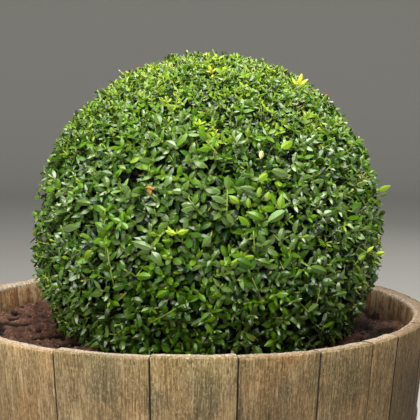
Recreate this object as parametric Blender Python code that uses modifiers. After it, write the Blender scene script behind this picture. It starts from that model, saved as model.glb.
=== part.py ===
"""A clipped ball of box growing in a round tub of oak staves, at its real size.

Units are metres, +Z is up and -Y is the front. The origin lies on the tub's axis, on the ground
under the feet of the staves. Angles round the tub are counted from the front towards +X.
"""

import math
import random

import bmesh
import bpy
from mathutils import Matrix, Vector, noise

# ---------------------------------------------------------------- driving dimensions

CLEARANCE = 0.0003  # gap kept between pieces that touch

TUB_HEIGHT = 0.420
RIM_RADIUS = 0.330  # outside of the staves, at the rim
FOOT_RADIUS = 0.284  # outside of the staves, on the ground
STAVE_BOW = 0.0015  # how far a stave bows out at half its height
STAVE_THICKNESS = 0.021
STAVE_JOINT = 0.0008  # open joint between two staves
STAVE_FACETS = 4
RIM_CHAMFER = 0.0025
RIM_UNEVENNESS = 0.0012  # the sawn tops of the staves differ by up to this
FIRST_JOINT_DEG = -29.8
FRONT_STAVES_DEG = (21.4, 18.1, 18.3, 14.8, 9.6, 16.2, 16.2, 16.2, 13.7)
LEFT_STAVE_DEG = 20.2  # the last stave, left of the first joint
FRONT_STAVE_LIFTS = {1: 0.0012, 2: 0.0028, 3: 0.0010}  # by number, of staves sawn a little long
LEFT_STAVE_DROP = 0.0016
BACK_STAVES = 11
BACK_STAVE_SPREAD = 0.22  # the back staves' widths differ by up to this share
STAVE_SEED = 11

CHIME_DEPTH = 0.030  # the tub's floor stands this far above the ground
HEAD_THICKNESS = 0.018
CROZE_DEPTH = 0.005  # groove in the staves that holds the floor
HEAD_BOARDS = 5
HEAD_SEGMENTS = 72
DRAIN_RADIUS = 0.008
DRAIN_SPACING = 0.110

HOOP_WIDTH = 0.032
HOOP_THICKNESS = 0.002
HOOP_SEGMENTS = 60
HOOP_FEET = {"hoop_lower": 0.040, "hoop_upper": 0.252}  # height of each hoop's lower edge

SOIL_DEPTH_BELOW_RIM = 0.036
SOIL_LUMP = 0.007
SOIL_LUMP_SIZE = 0.045
SOIL_RINGS = 9
SOIL_SEGMENTS = 56

BALL_RADIUS = 0.2446
BALL_OFFSET_X = 0.025  # the plant stands a little to one side of the tub's axis
BALL_ABOVE_RIM = 0.112
FULLER_SIDE = Vector((-0.80, -0.25, -0.55)).normalized()  # where the clipped outline is a little fuller
FULLER_BY = 0.009
FULLER_SPREAD = (0.70, 0.97)  # cosines to that side where the fullness begins and is whole
CORE_RADIUS = 0.212
CORE_LUMP = 0.004
CORE_LUMP_SIZE = 0.09
CORE_FLOOR_ABOVE_SOIL = 0.003
STEM_HOLLOW_RADIUS = 0.045  # the core is cut clear of the stem by a round hollow
STEM_HEIGHT = 0.070
STEM_FOOT_RADIUS = 0.030
STEM_RADIUS = 0.018
STEM_TOP_RADIUS = 0.015
STEM_SEGMENTS = 14
STUB_LENGTH = 0.012

SPRIG_SEED = 5
SPRIGS_ON_WHOLE_SPHERE = 104
SPRIG_LEAN = 0.30  # sideways part of a sprig's direction, at most
TWIG_ROOT = 0.012  # length of a twig inside the core
TWIG_ROOT_RADIUS = 0.0036
TWIG_TIP_RADIUS = 0.0030
TWIG_END_BELOW_OUTLINE = 0.021
LEAF_PAIR_SPACING = 0.011
LEAF_LENGTH = 0.040
LEAF_WIDTH = 0.022
LEAF_THICKNESS = 0.0015
LEAF_ANGLES_DEG = (57.0, 70.0)  # angle to the twig, at its tip and further down
LEAF_ROOT = 0.0012  # how far behind the twig's axis a leaf starts
SHORTEST_LEAF_SHARE = 0.45  # a leaf with less room than this share of its length isn't grown

# ---------------------------------------------------------------- sizes that follow

GROUND = TUB_HEIGHT - SOIL_DEPTH_BELOW_RIM
BALL_CENTRE = Vector((BALL_OFFSET_X, 0.0, TUB_HEIGHT + BALL_ABOVE_RIM))
CORE_FLOOR = GROUND + CORE_FLOOR_ABOVE_SOIL
HEAD_FOOT = CHIME_DEPTH
HEAD_TOP = CHIME_DEPTH + HEAD_THICKNESS
HOLLOW_TOP = GROUND + STEM_HEIGHT + 2.0 * CLEARANCE + STUB_LENGTH
LEAF_FLOOR = GROUND + 4.0 * CLEARANCE
BALL_FOOT_RADIUS = math.sqrt(BALL_RADIUS**2 - (BALL_CENTRE.z - GROUND) ** 2)

MATERIALS = {
    "stave_wood": ((0.29, 0.215, 0.115), 0.78, 0.0),
    "head_wood": ((0.25, 0.18, 0.10), 0.80, 0.0),
    "hoop_steel": ((0.10, 0.095, 0.09), 0.55, 0.9),
    "soil": ((0.060, 0.036, 0.026), 0.95, 0.0),
    "bark": ((0.20, 0.15, 0.10), 0.85, 0.0),
    "leaves": ((0.085, 0.175, 0.030), 0.42, 0.0),
}


def clear_scene():
    """Removes what the scene holds at the start."""
    for thing in list(bpy.data.objects):
        bpy.data.objects.remove(thing, do_unlink=True)


def make_collection(name):
    """Adds a collection under the scene's own."""
    group = bpy.data.collections.new(name)
    bpy.context.scene.collection.children.link(group)
    return group


def make_material(name):
    """Makes the Principled material of one of MATERIALS."""
    colour, roughness, metallic = MATERIALS[name]
    material = bpy.data.materials.new(name)
    material.use_nodes = True
    shader = material.node_tree.nodes["Principled BSDF"]
    shader.inputs["Base Color"].default_value = (*colour, 1.0)
    shader.inputs["Roughness"].default_value = roughness
    shader.inputs["Metallic"].default_value = metallic
    material.diffuse_color = (*colour, 1.0)
    return material


def make_object(name, form, collection, material=None):
    """Turns a bmesh into an object of the collection, with its faces pointing out."""
    bmesh.ops.recalc_face_normals(form, faces=form.faces)
    mesh = bpy.data.meshes.new(name)
    form.to_mesh(mesh)
    form.free()
    thing = bpy.data.objects.new(name, mesh)
    collection.objects.link(thing)
    if material is not None:
        mesh.materials.append(material)
    return thing


def apply_modifiers(thing):
    """Puts the evaluated mesh in place of the object's own and drops its modifiers."""
    graph = bpy.context.evaluated_depsgraph_get()
    mesh = bpy.data.meshes.new_from_object(thing.evaluated_get(graph))
    thing.modifiers.clear()
    thing.data = mesh


def loose_profile(points, closed):
    """A bmesh of one chain of points in the XZ plane."""
    form = bmesh.new()
    verts = [form.verts.new((x, 0.0, z)) for x, z in points]
    for a, b in zip(verts, verts[1:]):
        form.edges.new((a, b))
    if closed:
        form.edges.new((verts[-1], verts[0]))
    return form


# ---------------------------------------------------------------- the tub


def outer_radius(height):
    """Outside radius of the staves at a height above the ground."""
    share = height / TUB_HEIGHT
    bow = 4.0 * STAVE_BOW * share * (1.0 - share)
    return FOOT_RADIUS + (RIM_RADIUS - FOOT_RADIUS) * share + bow


def inner_radius(height):
    """Inside radius of the staves at a height above the ground."""
    return outer_radius(height) - STAVE_THICKNESS


def wall_radius(height):
    """Inside radius of the staves' two straight facets, which meet at half their height."""
    mid = TUB_HEIGHT / 2.0
    end = TUB_HEIGHT if height > mid else HEAD_TOP
    share = (height - mid) / (end - mid)
    return inner_radius(mid) + (inner_radius(end) - inner_radius(mid)) * share


def stave_widths():
    """Widths of all staves in degrees, the seeded back ones filling what the front ones leave."""
    draw = random.Random(STAVE_SEED)
    rest = 360.0 - sum(FRONT_STAVES_DEG) - LEFT_STAVE_DEG
    shares = [1.0 + draw.uniform(-BACK_STAVE_SPREAD, BACK_STAVE_SPREAD) for _ in range(BACK_STAVES)]
    return [*FRONT_STAVES_DEG, *(rest * share / sum(shares) for share in shares), LEFT_STAVE_DEG]


def facet_share():
    """Cosine of half the widest facet: how far a flat facet lies inside its round."""
    widest = math.radians(max(stave_widths())) / STAVE_FACETS
    return math.cos(widest / 2.0)


def stave_profile(top):
    """Corners of a stave's section, as radius and height, with the croze groove inside."""
    mid = TUB_HEIGHT / 2.0
    return [
        (inner_radius(0.0), 0.0),
        (outer_radius(0.0), 0.0),
        (outer_radius(mid), mid),
        (outer_radius(top) - 0.0001, top - RIM_CHAMFER),
        (outer_radius(top) - RIM_CHAMFER, top),
        (inner_radius(top) + RIM_CHAMFER / 2.0, top),
        (inner_radius(top), top - RIM_CHAMFER / 2.0),
        (inner_radius(mid), mid),
        (inner_radius(HEAD_TOP), HEAD_TOP + CLEARANCE),
        (inner_radius(HEAD_TOP) + CROZE_DEPTH, HEAD_TOP + CLEARANCE),
        (inner_radius(HEAD_FOOT) + CROZE_DEPTH, HEAD_FOOT - CLEARANCE),
        (inner_radius(HEAD_FOOT), HEAD_FOOT - CLEARANCE),
    ]


def make_stave(name, start, width, top, collection, material):
    """One stave: its section spun through its own share of the circle."""
    gap = STAVE_JOINT / RIM_RADIUS
    form = bmesh.new()
    section = form.faces.new([form.verts.new((r, 0.0, z)) for r, z in stave_profile(top)])
    turn = Matrix.Rotation(start + gap / 2.0 - math.pi / 2.0, 4, "Z")
    bmesh.ops.transform(form, matrix=turn, verts=form.verts)
    bmesh.ops.spin(
        form,
        geom=[section, *section.edges, *section.verts],
        cent=(0.0, 0.0, 0.0),
        axis=(0.0, 0.0, 1.0),
        angle=width - gap,
        steps=STAVE_FACETS,
        use_merge=False,
        use_duplicate=False,
    )
    return make_object(name, form, collection, material)


def make_staves(collection, material):
    """All staves, side by side round the tub."""
    draw = random.Random(STAVE_SEED + 1)
    start = math.radians(FIRST_JOINT_DEG)
    widths = stave_widths()
    for number, degrees in enumerate(widths, start=1):
        width = math.radians(degrees)
        lift = -LEFT_STAVE_DROP if number == len(widths) else FRONT_STAVE_LIFTS.get(number, 0.0)
        top = TUB_HEIGHT + lift - draw.uniform(0.0, RIM_UNEVENNESS)
        make_stave(f"stave_{number:02d}", start, width, top, collection, material)
        start += width


def make_hoop(name, foot, collection, material):
    """A thin steel band that follows the staves' taper, turned from its section."""
    slack = 1.0 / math.cos(math.pi / HOOP_SEGMENTS)
    top = foot + HOOP_WIDTH
    inside_top = outer_radius(top) * slack + CLEARANCE
    inside_foot = outer_radius(foot) * slack + CLEARANCE
    form = loose_profile(
        [
            (inside_top + HOOP_THICKNESS, top),
            (inside_foot + HOOP_THICKNESS, foot),
            (inside_foot, foot),
            (inside_top, top),
        ],
        closed=True,
    )
    hoop = make_object(name, form, collection, material)
    screw = hoop.modifiers.new("turned", "SCREW")
    screw.steps = HOOP_SEGMENTS
    screw.render_steps = HOOP_SEGMENTS
    screw.use_merge_vertices = True
    screw.merge_threshold = 0.0001
    return hoop


def head_radius():
    """Radius of the tub's floor, whose edge sits in the groove of the staves."""
    return (inner_radius(HEAD_FOOT) + CROZE_DEPTH) * facet_share() - CLEARANCE


def make_head_board(number, collection, cutters, material):
    """One board of the tub's floor: a slice of the disc, bored where it drains."""
    radius = head_radius()
    pitch = 2.0 * radius / HEAD_BOARDS
    low = -radius + number * pitch
    form = bmesh.new()
    middle = (HEAD_FOOT + HEAD_TOP) / 2.0
    bmesh.ops.create_cone(
        form,
        cap_ends=True,
        segments=HEAD_SEGMENTS,
        radius1=radius,
        radius2=radius,
        depth=HEAD_THICKNESS,
        matrix=Matrix.Translation((0.0, 0.0, middle)),
    )
    sides = []
    if number > 0:
        sides.append((low + CLEARANCE / 2.0, -1.0))
    if number < HEAD_BOARDS - 1:
        sides.append((low + pitch - CLEARANCE / 2.0, 1.0))
    for place, facing in sides:
        cut = bmesh.ops.bisect_plane(
            form,
            geom=[*form.verts, *form.edges, *form.faces],
            plane_co=(0.0, place, 0.0),
            plane_no=(0.0, facing, 0.0),
            clear_outer=True,
        )
        rim = [part for part in cut["geom_cut"] if isinstance(part, bmesh.types.BMEdge)]
        bmesh.ops.contextual_create(form, geom=rim)
    board = make_object(f"head_board_{number + 1}", form, collection, material)

    across = number - (HEAD_BOARDS - 1) / 2.0
    if abs(across) <= 1.0:
        places = (-DRAIN_SPACING, DRAIN_SPACING) if across else (0.0,)
        for place in places:
            drill(board, (place, low + pitch / 2.0, middle), cutters)
    return board


def drill(board, place, cutters):
    """Bores a drain hole through a board."""
    form = bmesh.new()
    bmesh.ops.create_cone(
        form,
        cap_ends=True,
        segments=16,
        radius1=DRAIN_RADIUS,
        radius2=DRAIN_RADIUS,
        depth=2.0 * HEAD_THICKNESS,
        matrix=Matrix.Translation(place),
    )
    cutter = make_object(f"drill_{len(cutters.objects) + 1}", form, cutters)
    cutter.hide_render = True
    cutter.display_type = "WIRE"
    bore = board.modifiers.new("drain", "BOOLEAN")
    bore.operation = "DIFFERENCE"
    bore.object = cutter


# ---------------------------------------------------------------- the soil


def soil_height(x, y):
    """Height of the soil's surface: lumpy in the open ring, flat under the plant."""
    away = math.hypot(x - BALL_CENTRE.x, y - BALL_CENTRE.y)
    share = min(1.0, max(0.0, (away - BALL_FOOT_RADIUS) / SOIL_LUMP_SIZE))
    lump = noise.noise(Vector((x, y, 0.0)) / SOIL_LUMP_SIZE)
    return GROUND + SOIL_LUMP * share * lump


def make_soil(collection, material):
    """The soil that fills the tub, turned from its outline and then made lumpy on top."""
    reach = facet_share()
    edge = GROUND - SOIL_LUMP

    def side(height):
        return wall_radius(height) * reach - CLEARANCE

    foot = HEAD_TOP + 2.0 * CLEARANCE
    mid = TUB_HEIGHT / 2.0
    radii = [side(edge) * ring / SOIL_RINGS for ring in range(SOIL_RINGS + 1)]
    points = [(radius, GROUND) for radius in radii]
    points += [(side(mid), mid), (side(foot), foot), (0.0, foot)]
    form = loose_profile(points, closed=False)
    bmesh.ops.spin(
        form,
        geom=[*form.verts, *form.edges],
        cent=(0.0, 0.0, 0.0),
        axis=(0.0, 0.0, 1.0),
        angle=math.tau,
        steps=SOIL_SEGMENTS,
        use_merge=True,
        use_duplicate=False,
    )
    bmesh.ops.remove_doubles(form, verts=form.verts, dist=0.00001)
    for vert in form.verts:
        if abs(vert.co.z - GROUND) < CLEARANCE:
            vert.co.z = soil_height(vert.co.x, vert.co.y)
    return make_object("soil", form, collection, material)


# ---------------------------------------------------------------- the plant


def make_stem(collection, material):
    """The short stem that stands in the soil inside the foliage, flared at its foot."""
    foot = GROUND + CLEARANCE
    top = foot + STEM_HEIGHT
    flare = [
        (STEM_TOP_RADIUS, top),
        (STEM_RADIUS, foot + 0.45 * STEM_HEIGHT),
        (STEM_RADIUS * 1.2, foot + 0.18 * STEM_HEIGHT),
        (STEM_FOOT_RADIUS, foot),
    ]
    form = loose_profile([(0.0, top), *flare, (0.0, foot)], closed=False)
    stem = make_object("stem", form, collection, material)
    stem.location = (BALL_CENTRE.x, BALL_CENTRE.y, 0.0)
    screw = stem.modifiers.new("turned", "SCREW")
    screw.steps = STEM_SEGMENTS
    screw.render_steps = STEM_SEGMENTS
    screw.use_merge_vertices = True
    screw.merge_threshold = 0.0001
    return stem


def make_hollow(cutters):
    """The cutter of the round hollow that keeps the core clear of the stem."""
    form = bmesh.new()
    bmesh.ops.create_cone(
        form,
        cap_ends=True,
        segments=2 * STEM_SEGMENTS,
        radius1=STEM_HOLLOW_RADIUS,
        radius2=STEM_HOLLOW_RADIUS,
        depth=2.0 * (HOLLOW_TOP - CORE_FLOOR),
        matrix=Matrix.Translation((BALL_CENTRE.x, BALL_CENTRE.y, CORE_FLOOR)),
    )
    cutter = make_object("stem_hollow", form, cutters)
    cutter.hide_render = True
    cutter.display_type = "WIRE"
    return cutter


def make_core(collection, cutters, material):
    """The dense inside of the ball: a lumpy sphere, flat below, hollow round the stem."""
    form = bmesh.new()
    bmesh.ops.create_icosphere(form, subdivisions=3, radius=CORE_RADIUS)
    for vert in form.verts:
        vert.co += vert.co.normalized() * CORE_LUMP * noise.noise(vert.co / CORE_LUMP_SIZE)
    bmesh.ops.translate(form, vec=BALL_CENTRE, verts=form.verts)
    cut = bmesh.ops.bisect_plane(
        form,
        geom=[*form.verts, *form.edges, *form.faces],
        plane_co=(0.0, 0.0, CORE_FLOOR),
        plane_no=(0.0, 0.0, -1.0),
        clear_outer=True,
    )
    rim = [part for part in cut["geom_cut"] if isinstance(part, bmesh.types.BMEdge)]
    bmesh.ops.contextual_create(form, geom=rim)
    core = make_object("foliage_ball", form, collection, material)
    hollow = core.modifiers.new("clear_of_stem", "BOOLEAN")
    hollow.operation = "DIFFERENCE"
    hollow.object = make_hollow(cutters)
    return core


def add_stub(pieces):
    """The foliage's own stem, which comes down out of the core to meet the plant's stem."""
    form = bmesh.new()
    bmesh.ops.create_cone(
        form,
        cap_ends=True,
        segments=10,
        radius1=STEM_TOP_RADIUS,
        radius2=STEM_TOP_RADIUS * 0.9,
        depth=2.0 * STUB_LENGTH,
        matrix=Matrix.Translation((BALL_CENTRE.x, BALL_CENTRE.y, HOLLOW_TOP)),
    )
    make_object("stub", form, pieces)


def frame_along(direction, side, place):
    """A matrix whose +Z runs along a direction and whose +X lies as near a side as it can."""
    up = direction.normalized()
    across = (side - up * side.dot(up)).normalized()
    depth = up.cross(across)
    turn = Matrix((across, depth, up)).transposed().to_4x4()
    return Matrix.Translation(place) @ turn


def add_twig(pieces, root, tip):
    """A three-sided tapering twig between two points."""
    form = bmesh.new()
    along = tip - root
    bmesh.ops.create_cone(
        form,
        cap_ends=True,
        segments=3,
        radius1=TWIG_ROOT_RADIUS,
        radius2=TWIG_TIP_RADIUS,
        depth=along.length,
        matrix=frame_along(along, Vector((0.3, 0.2, 1.0)), (root + tip) / 2.0),
    )
    make_object("twig", form, pieces)


def add_leaf(pieces, node, along, across, length):
    """One leaf of eight faces: a ball of four sides, drawn out long and pressed flat."""
    form = bmesh.new()
    bmesh.ops.create_uvsphere(form, u_segments=4, v_segments=2, radius=1.0)
    size = Matrix.Diagonal((LEAF_WIDTH / 2.0, LEAF_THICKNESS / 2.0, length / 2.0, 1.0))
    middle = node + along * (length / 2.0 - LEAF_ROOT)
    bmesh.ops.transform(form, matrix=frame_along(along, across, middle) @ size, verts=form.verts)
    make_object("leaf", form, pieces)


def outline_radius(direction):
    """Radius of the clipped outline along a direction, which is a little fuller low at one side."""
    begins, whole = FULLER_SPREAD
    share = min(1.0, max(0.0, (direction.dot(FULLER_SIDE) - begins) / (whole - begins)))
    return BALL_RADIUS + FULLER_BY * share * share * (3.0 - 2.0 * share)


def room_for_leaf(node, along):
    """How long a leaf can grow from a node before it leaves the clipped ball or meets the soil."""
    out = node - BALL_CENTRE
    slope = out.dot(along)
    outline = outline_radius(out.normalized())
    room = -slope + math.sqrt(slope * slope + outline**2 - out.length_squared)
    if along.z < 0.0:
        room = min(room, (node.z - LEAF_FLOOR) / -along.z)
    return room


def distance_to_core_surface(direction):
    """How far the core's surface lies from the ball's centre along a direction."""
    if direction.z >= 0.0:
        return CORE_RADIUS
    to_floor = (BALL_CENTRE.z - CORE_FLOOR) / -direction.z
    return min(CORE_RADIUS, to_floor)


def distance_to_outline(direction):
    """How far the clipped outline or the soil lies from the ball's centre along a direction."""
    outline = outline_radius(direction)
    if direction.z >= 0.0:
        return outline
    to_soil = (BALL_CENTRE.z - GROUND) / -direction.z
    return min(outline, to_soil)


def add_sprig(pieces, direction, draw):
    """A twig that leaves the core along a direction, with crossed pairs of leaves to its tip."""
    core = distance_to_core_surface(direction)
    end = distance_to_outline(direction) - TWIG_END_BELOW_OUTLINE
    root = BALL_CENTRE + direction * (core - TWIG_ROOT)
    lean = Vector([draw.uniform(-1.0, 1.0) for _ in range(3)])
    lean = (lean - direction * lean.dot(direction)) * SPRIG_LEAN
    tip = BALL_CENTRE + direction * end + lean * (end - core)
    add_twig(pieces, root, tip)

    along = (tip - root).normalized()
    side = along.cross(Vector((draw.uniform(-1.0, 1.0), draw.uniform(-1.0, 1.0), 0.4))).normalized()
    pairs = max(2, round((end - core) / LEAF_PAIR_SPACING) + 1)
    for pair in range(pairs):
        back = TWIG_TIP_RADIUS / 2.0 + pair * LEAF_PAIR_SPACING
        node = tip - along * back
        angle = math.radians(LEAF_ANGLES_DEG[0] if pair == 0 else LEAF_ANGLES_DEG[1])
        for sense in (-1.0, 1.0):
            leaf_along = along * math.cos(angle) + side * (sense * math.sin(angle))
            length = min(LEAF_LENGTH * draw.uniform(0.88, 1.08), room_for_leaf(node, leaf_along))
            if length > LEAF_LENGTH * SHORTEST_LEAF_SHARE:
                add_leaf(pieces, node, leaf_along, along.cross(side), length)
        side = along.cross(side)


def even_directions(count):
    """Directions spread evenly over the sphere along a golden-angle spiral."""
    golden = math.pi * (3.0 - math.sqrt(5.0))
    for number in range(count):
        rise = 1.0 - 2.0 * (number + 0.5) / count
        flat = math.sqrt(1.0 - rise * rise)
        yield Vector((flat * math.cos(golden * number), flat * math.sin(golden * number), rise))


def make_foliage(collection, cutters, material):
    """The clipped ball of foliage: core, stub, twigs and leaves fused into one solid."""
    draw = random.Random(SPRIG_SEED)
    pieces = make_collection("foliage_pieces")
    lowest = -(BALL_CENTRE.z - GROUND) / BALL_RADIUS
    add_stub(pieces)
    for direction in even_directions(SPRIGS_ON_WHOLE_SPHERE):
        if direction.z > lowest:
            add_sprig(pieces, direction, draw)
    ball = make_core(collection, cutters, material)
    union = ball.modifiers.new("grown_together", "BOOLEAN")
    union.operation = "UNION"
    union.operand_type = "COLLECTION"
    union.collection = pieces
    apply_modifiers(ball)
    for piece in list(pieces.objects):
        bpy.data.objects.remove(piece, do_unlink=True)
    bpy.data.collections.remove(pieces)
    return ball


def main():
    """Builds the whole object."""
    clear_scene()
    plant = make_collection("box_topiary_ball")
    cutters = make_collection("cutters")
    finish = {name: make_material(name) for name in MATERIALS}
    make_staves(plant, finish["stave_wood"])
    for name, foot in HOOP_FEET.items():
        make_hoop(name, foot, plant, finish["hoop_steel"])
    for number in range(HEAD_BOARDS):
        make_head_board(number, plant, cutters, finish["head_wood"])
    make_soil(plant, finish["soil"])
    make_stem(plant, finish["bark"])
    make_foliage(plant, cutters, finish["leaves"])


main()
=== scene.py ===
"""Looks of a clipped ball of box in a tub of oak staves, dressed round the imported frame.

Units are metres, +Z is up and -Y is the front, as in the frame. Angles round the tub are counted from
the front towards +X. The part has one body, root, and every piece rides on it.
"""

import logging
import math
import random
from collections.abc import Iterator, Sequence
from dataclasses import dataclass, field
from enum import IntEnum
from typing import ClassVar

import bmesh
import bpy
import numpy as np
from mathutils import Matrix, Vector, noise


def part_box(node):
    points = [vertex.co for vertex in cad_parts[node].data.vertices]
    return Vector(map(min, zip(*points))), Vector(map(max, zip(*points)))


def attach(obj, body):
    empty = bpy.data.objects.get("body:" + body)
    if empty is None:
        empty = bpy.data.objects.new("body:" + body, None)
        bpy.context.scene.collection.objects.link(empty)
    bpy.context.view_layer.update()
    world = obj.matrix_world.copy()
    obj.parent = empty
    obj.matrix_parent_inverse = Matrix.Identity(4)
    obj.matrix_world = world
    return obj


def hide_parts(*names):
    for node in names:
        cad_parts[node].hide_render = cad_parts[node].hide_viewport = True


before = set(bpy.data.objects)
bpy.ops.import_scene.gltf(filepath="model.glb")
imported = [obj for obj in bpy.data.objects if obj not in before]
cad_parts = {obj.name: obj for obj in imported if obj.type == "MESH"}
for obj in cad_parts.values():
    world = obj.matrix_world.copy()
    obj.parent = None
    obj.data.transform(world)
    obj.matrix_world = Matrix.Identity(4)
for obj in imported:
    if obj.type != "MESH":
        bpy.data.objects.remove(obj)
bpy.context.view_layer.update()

Colour = tuple[float, float, float]
Settings = dict[str, object]
Inputs = dict[int | str, object]

log = logging.getLogger("box_ball")

BODY = "root"
PICTURE_SIDE = 420  # pixels along each side of the picture
SENSOR_WIDTH = 36.0  # of the camera, in millimetres
UP = Vector((0.0, 0.0, 1.0))
ORIGIN = Vector((0.0, 0.0, 0.0))
WELD = 0.00002  # points of a mesh nearer than this become one
GROOVE_PLAY = 0.0003  # above and below the floor in the staves' groove
GROOVE_SPARE = 0.0005  # of the groove's depth beyond the floor's edge


# ---------------------------------------------------------------- small helpers


def display(red: float, green: float, blue: float) -> Colour:
    """Turns a colour as a screen shows it into the linear values that shaders take.

    Args:
        red: Red, 0 to 255.
        green: Green, 0 to 255.
        blue: Blue, 0 to 255.

    Returns:
        The three linear values, 0 to 1.
    """

    def linear(level: float) -> float:
        """Turns one level."""
        share = level / 255.0
        return share / 12.92 if share <= 0.04045 else ((share + 0.055) / 1.055) ** 2.4

    return linear(red), linear(green), linear(blue)


def smooth_share(value: float, low: float, high: float) -> float:
    """Gives how far a value is from low to high, eased at both ends.

    Args:
        value: The value.
        low: Where the share is 0.
        high: Where the share is 1.

    Returns:
        The share, 0 to 1.
    """
    share = min(1.0, max(0.0, (value - low) / (high - low)))
    return share * share * (3.0 - 2.0 * share)


def even_directions(count: int) -> Iterator[Vector]:
    """Spreads directions evenly over the sphere along a golden-angle spiral.

    Args:
        count: How many there are on the whole sphere.

    Returns:
        The directions, from the top down.
    """
    golden = math.pi * (3.0 - math.sqrt(5.0))
    for number in range(count):
        rise = 1.0 - 2.0 * (number + 0.5) / count
        flat = math.sqrt(1.0 - rise * rise)
        yield Vector((flat * math.cos(golden * number), flat * math.sin(golden * number), rise))


def draw_direction(draw: random.Random) -> Vector:
    """Draws a direction at random.

    Args:
        draw: The source of random numbers.

    Returns:
        The direction.
    """
    rise = draw.uniform(-1.0, 1.0)
    angle = draw.uniform(0.0, math.tau)
    flat = math.sqrt(1.0 - rise * rise)
    return Vector((flat * math.cos(angle), flat * math.sin(angle), rise))


def lumps(at: Vector, size: tuple[float, float, float]) -> float:
    """Reads noise whose lumps have a size of their own along each axis."""
    return noise.noise(Vector((at.x / size[0], at.y / size[1], at.z / size[2])))


def turn_profile(
    form: bmesh.types.BMesh, profile: Sequence[tuple[float, float]], steps: int, centre: Vector = ORIGIN
) -> None:
    """Turns a profile once round an upright axis and welds what meets.

    Args:
        form: The bmesh that it goes in.
        profile: The radius and height of each point.
        steps: How many steps the turn has.
        centre: Where the axis meets the ground.
    """
    verts = [form.verts.new(centre + Vector((radius, 0.0, height))) for radius, height in profile]
    edges = [form.edges.new(pair) for pair in zip(verts, verts[1:])]
    bmesh.ops.spin(
        form, geom=[*verts, *edges], cent=centre, axis=UP, angle=math.tau, steps=steps, use_merge=True
    )
    bmesh.ops.remove_doubles(form, verts=form.verts, dist=WELD)
    bmesh.ops.recalc_face_normals(form, faces=form.faces)


def mesh_from(form: bmesh.types.BMesh, name: str, smooth: bool = True) -> bpy.types.Mesh:
    """Turns a bmesh into a mesh and frees it.

    Args:
        form: The bmesh, whose faces already point outwards.
        name: The mesh's name.
        smooth: Whether its faces are shaded smooth.

    Returns:
        The mesh.
    """
    mesh = bpy.data.meshes.new(name)
    form.to_mesh(mesh)
    form.free()
    if smooth:
        mesh.shade_smooth()
    return mesh


def show(
    name: str,
    mesh: bpy.types.Mesh,
    materials: Sequence[bpy.types.Material],
    stands_for: Sequence[str] = (),
) -> bpy.types.Object:
    """Puts a finished mesh in the scene as a piece of the object.

    Args:
        name: The piece's name.
        mesh: Its mesh, with its place in its points.
        materials: The materials of its slots.
        stands_for: The CAD nodes that it replaces.

    Returns:
        The piece.
    """
    for material in materials:
        mesh.materials.append(material)
    piece = bpy.data.objects.new(name, mesh)
    bpy.context.scene.collection.objects.link(piece)
    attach(piece, BODY)
    if stands_for:
        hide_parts(*stands_for)
    triangles = sum(len(face.vertices) - 2 for face in mesh.polygons)
    log.info("%s: %d triangles", name, triangles)
    return piece


def node_points(name: str) -> np.ndarray:
    """Reads the vertices of a CAD node.

    Args:
        name: The node's name.

    Returns:
        The vertices, one row each.
    """
    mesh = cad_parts[name].data
    points = np.empty(len(mesh.vertices) * 3, np.float32)
    mesh.vertices.foreach_get("co", points)
    return points.reshape(-1, 3).astype(float)


def nodes_named(start: str) -> list[str]:
    """Gives the CAD nodes whose names begin with some letters, in order."""
    return sorted(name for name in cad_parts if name.startswith(start))


# ---------------------------------------------------------------- shader expressions


class Value:
    """A shader's socket that takes part in Python expressions."""

    def __init__(self, shader: "Shader", socket: bpy.types.NodeSocket) -> None:
        """Wraps an output socket of a shader's node."""
        self.shader = shader
        self.socket = socket

    def __add__(self, other: "Value | float") -> "Value":
        """Adds."""
        return self.shader.math("ADD", self, other)

    def __radd__(self, other: "Value | float") -> "Value":
        """Adds to a number."""
        return self.shader.math("ADD", other, self)

    def __sub__(self, other: "Value | float") -> "Value":
        """Subtracts."""
        return self.shader.math("SUBTRACT", self, other)

    def __rsub__(self, other: "Value | float") -> "Value":
        """Subtracts from a number."""
        return self.shader.math("SUBTRACT", other, self)

    def __mul__(self, other: "Value | float") -> "Value":
        """Multiplies."""
        return self.shader.math("MULTIPLY", self, other)

    def __rmul__(self, other: "Value | float") -> "Value":
        """Multiplies a number."""
        return self.shader.math("MULTIPLY", other, self)

    def __abs__(self) -> "Value":
        """Drops the sign."""
        return self.shader.math("ABSOLUTE", self)


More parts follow.
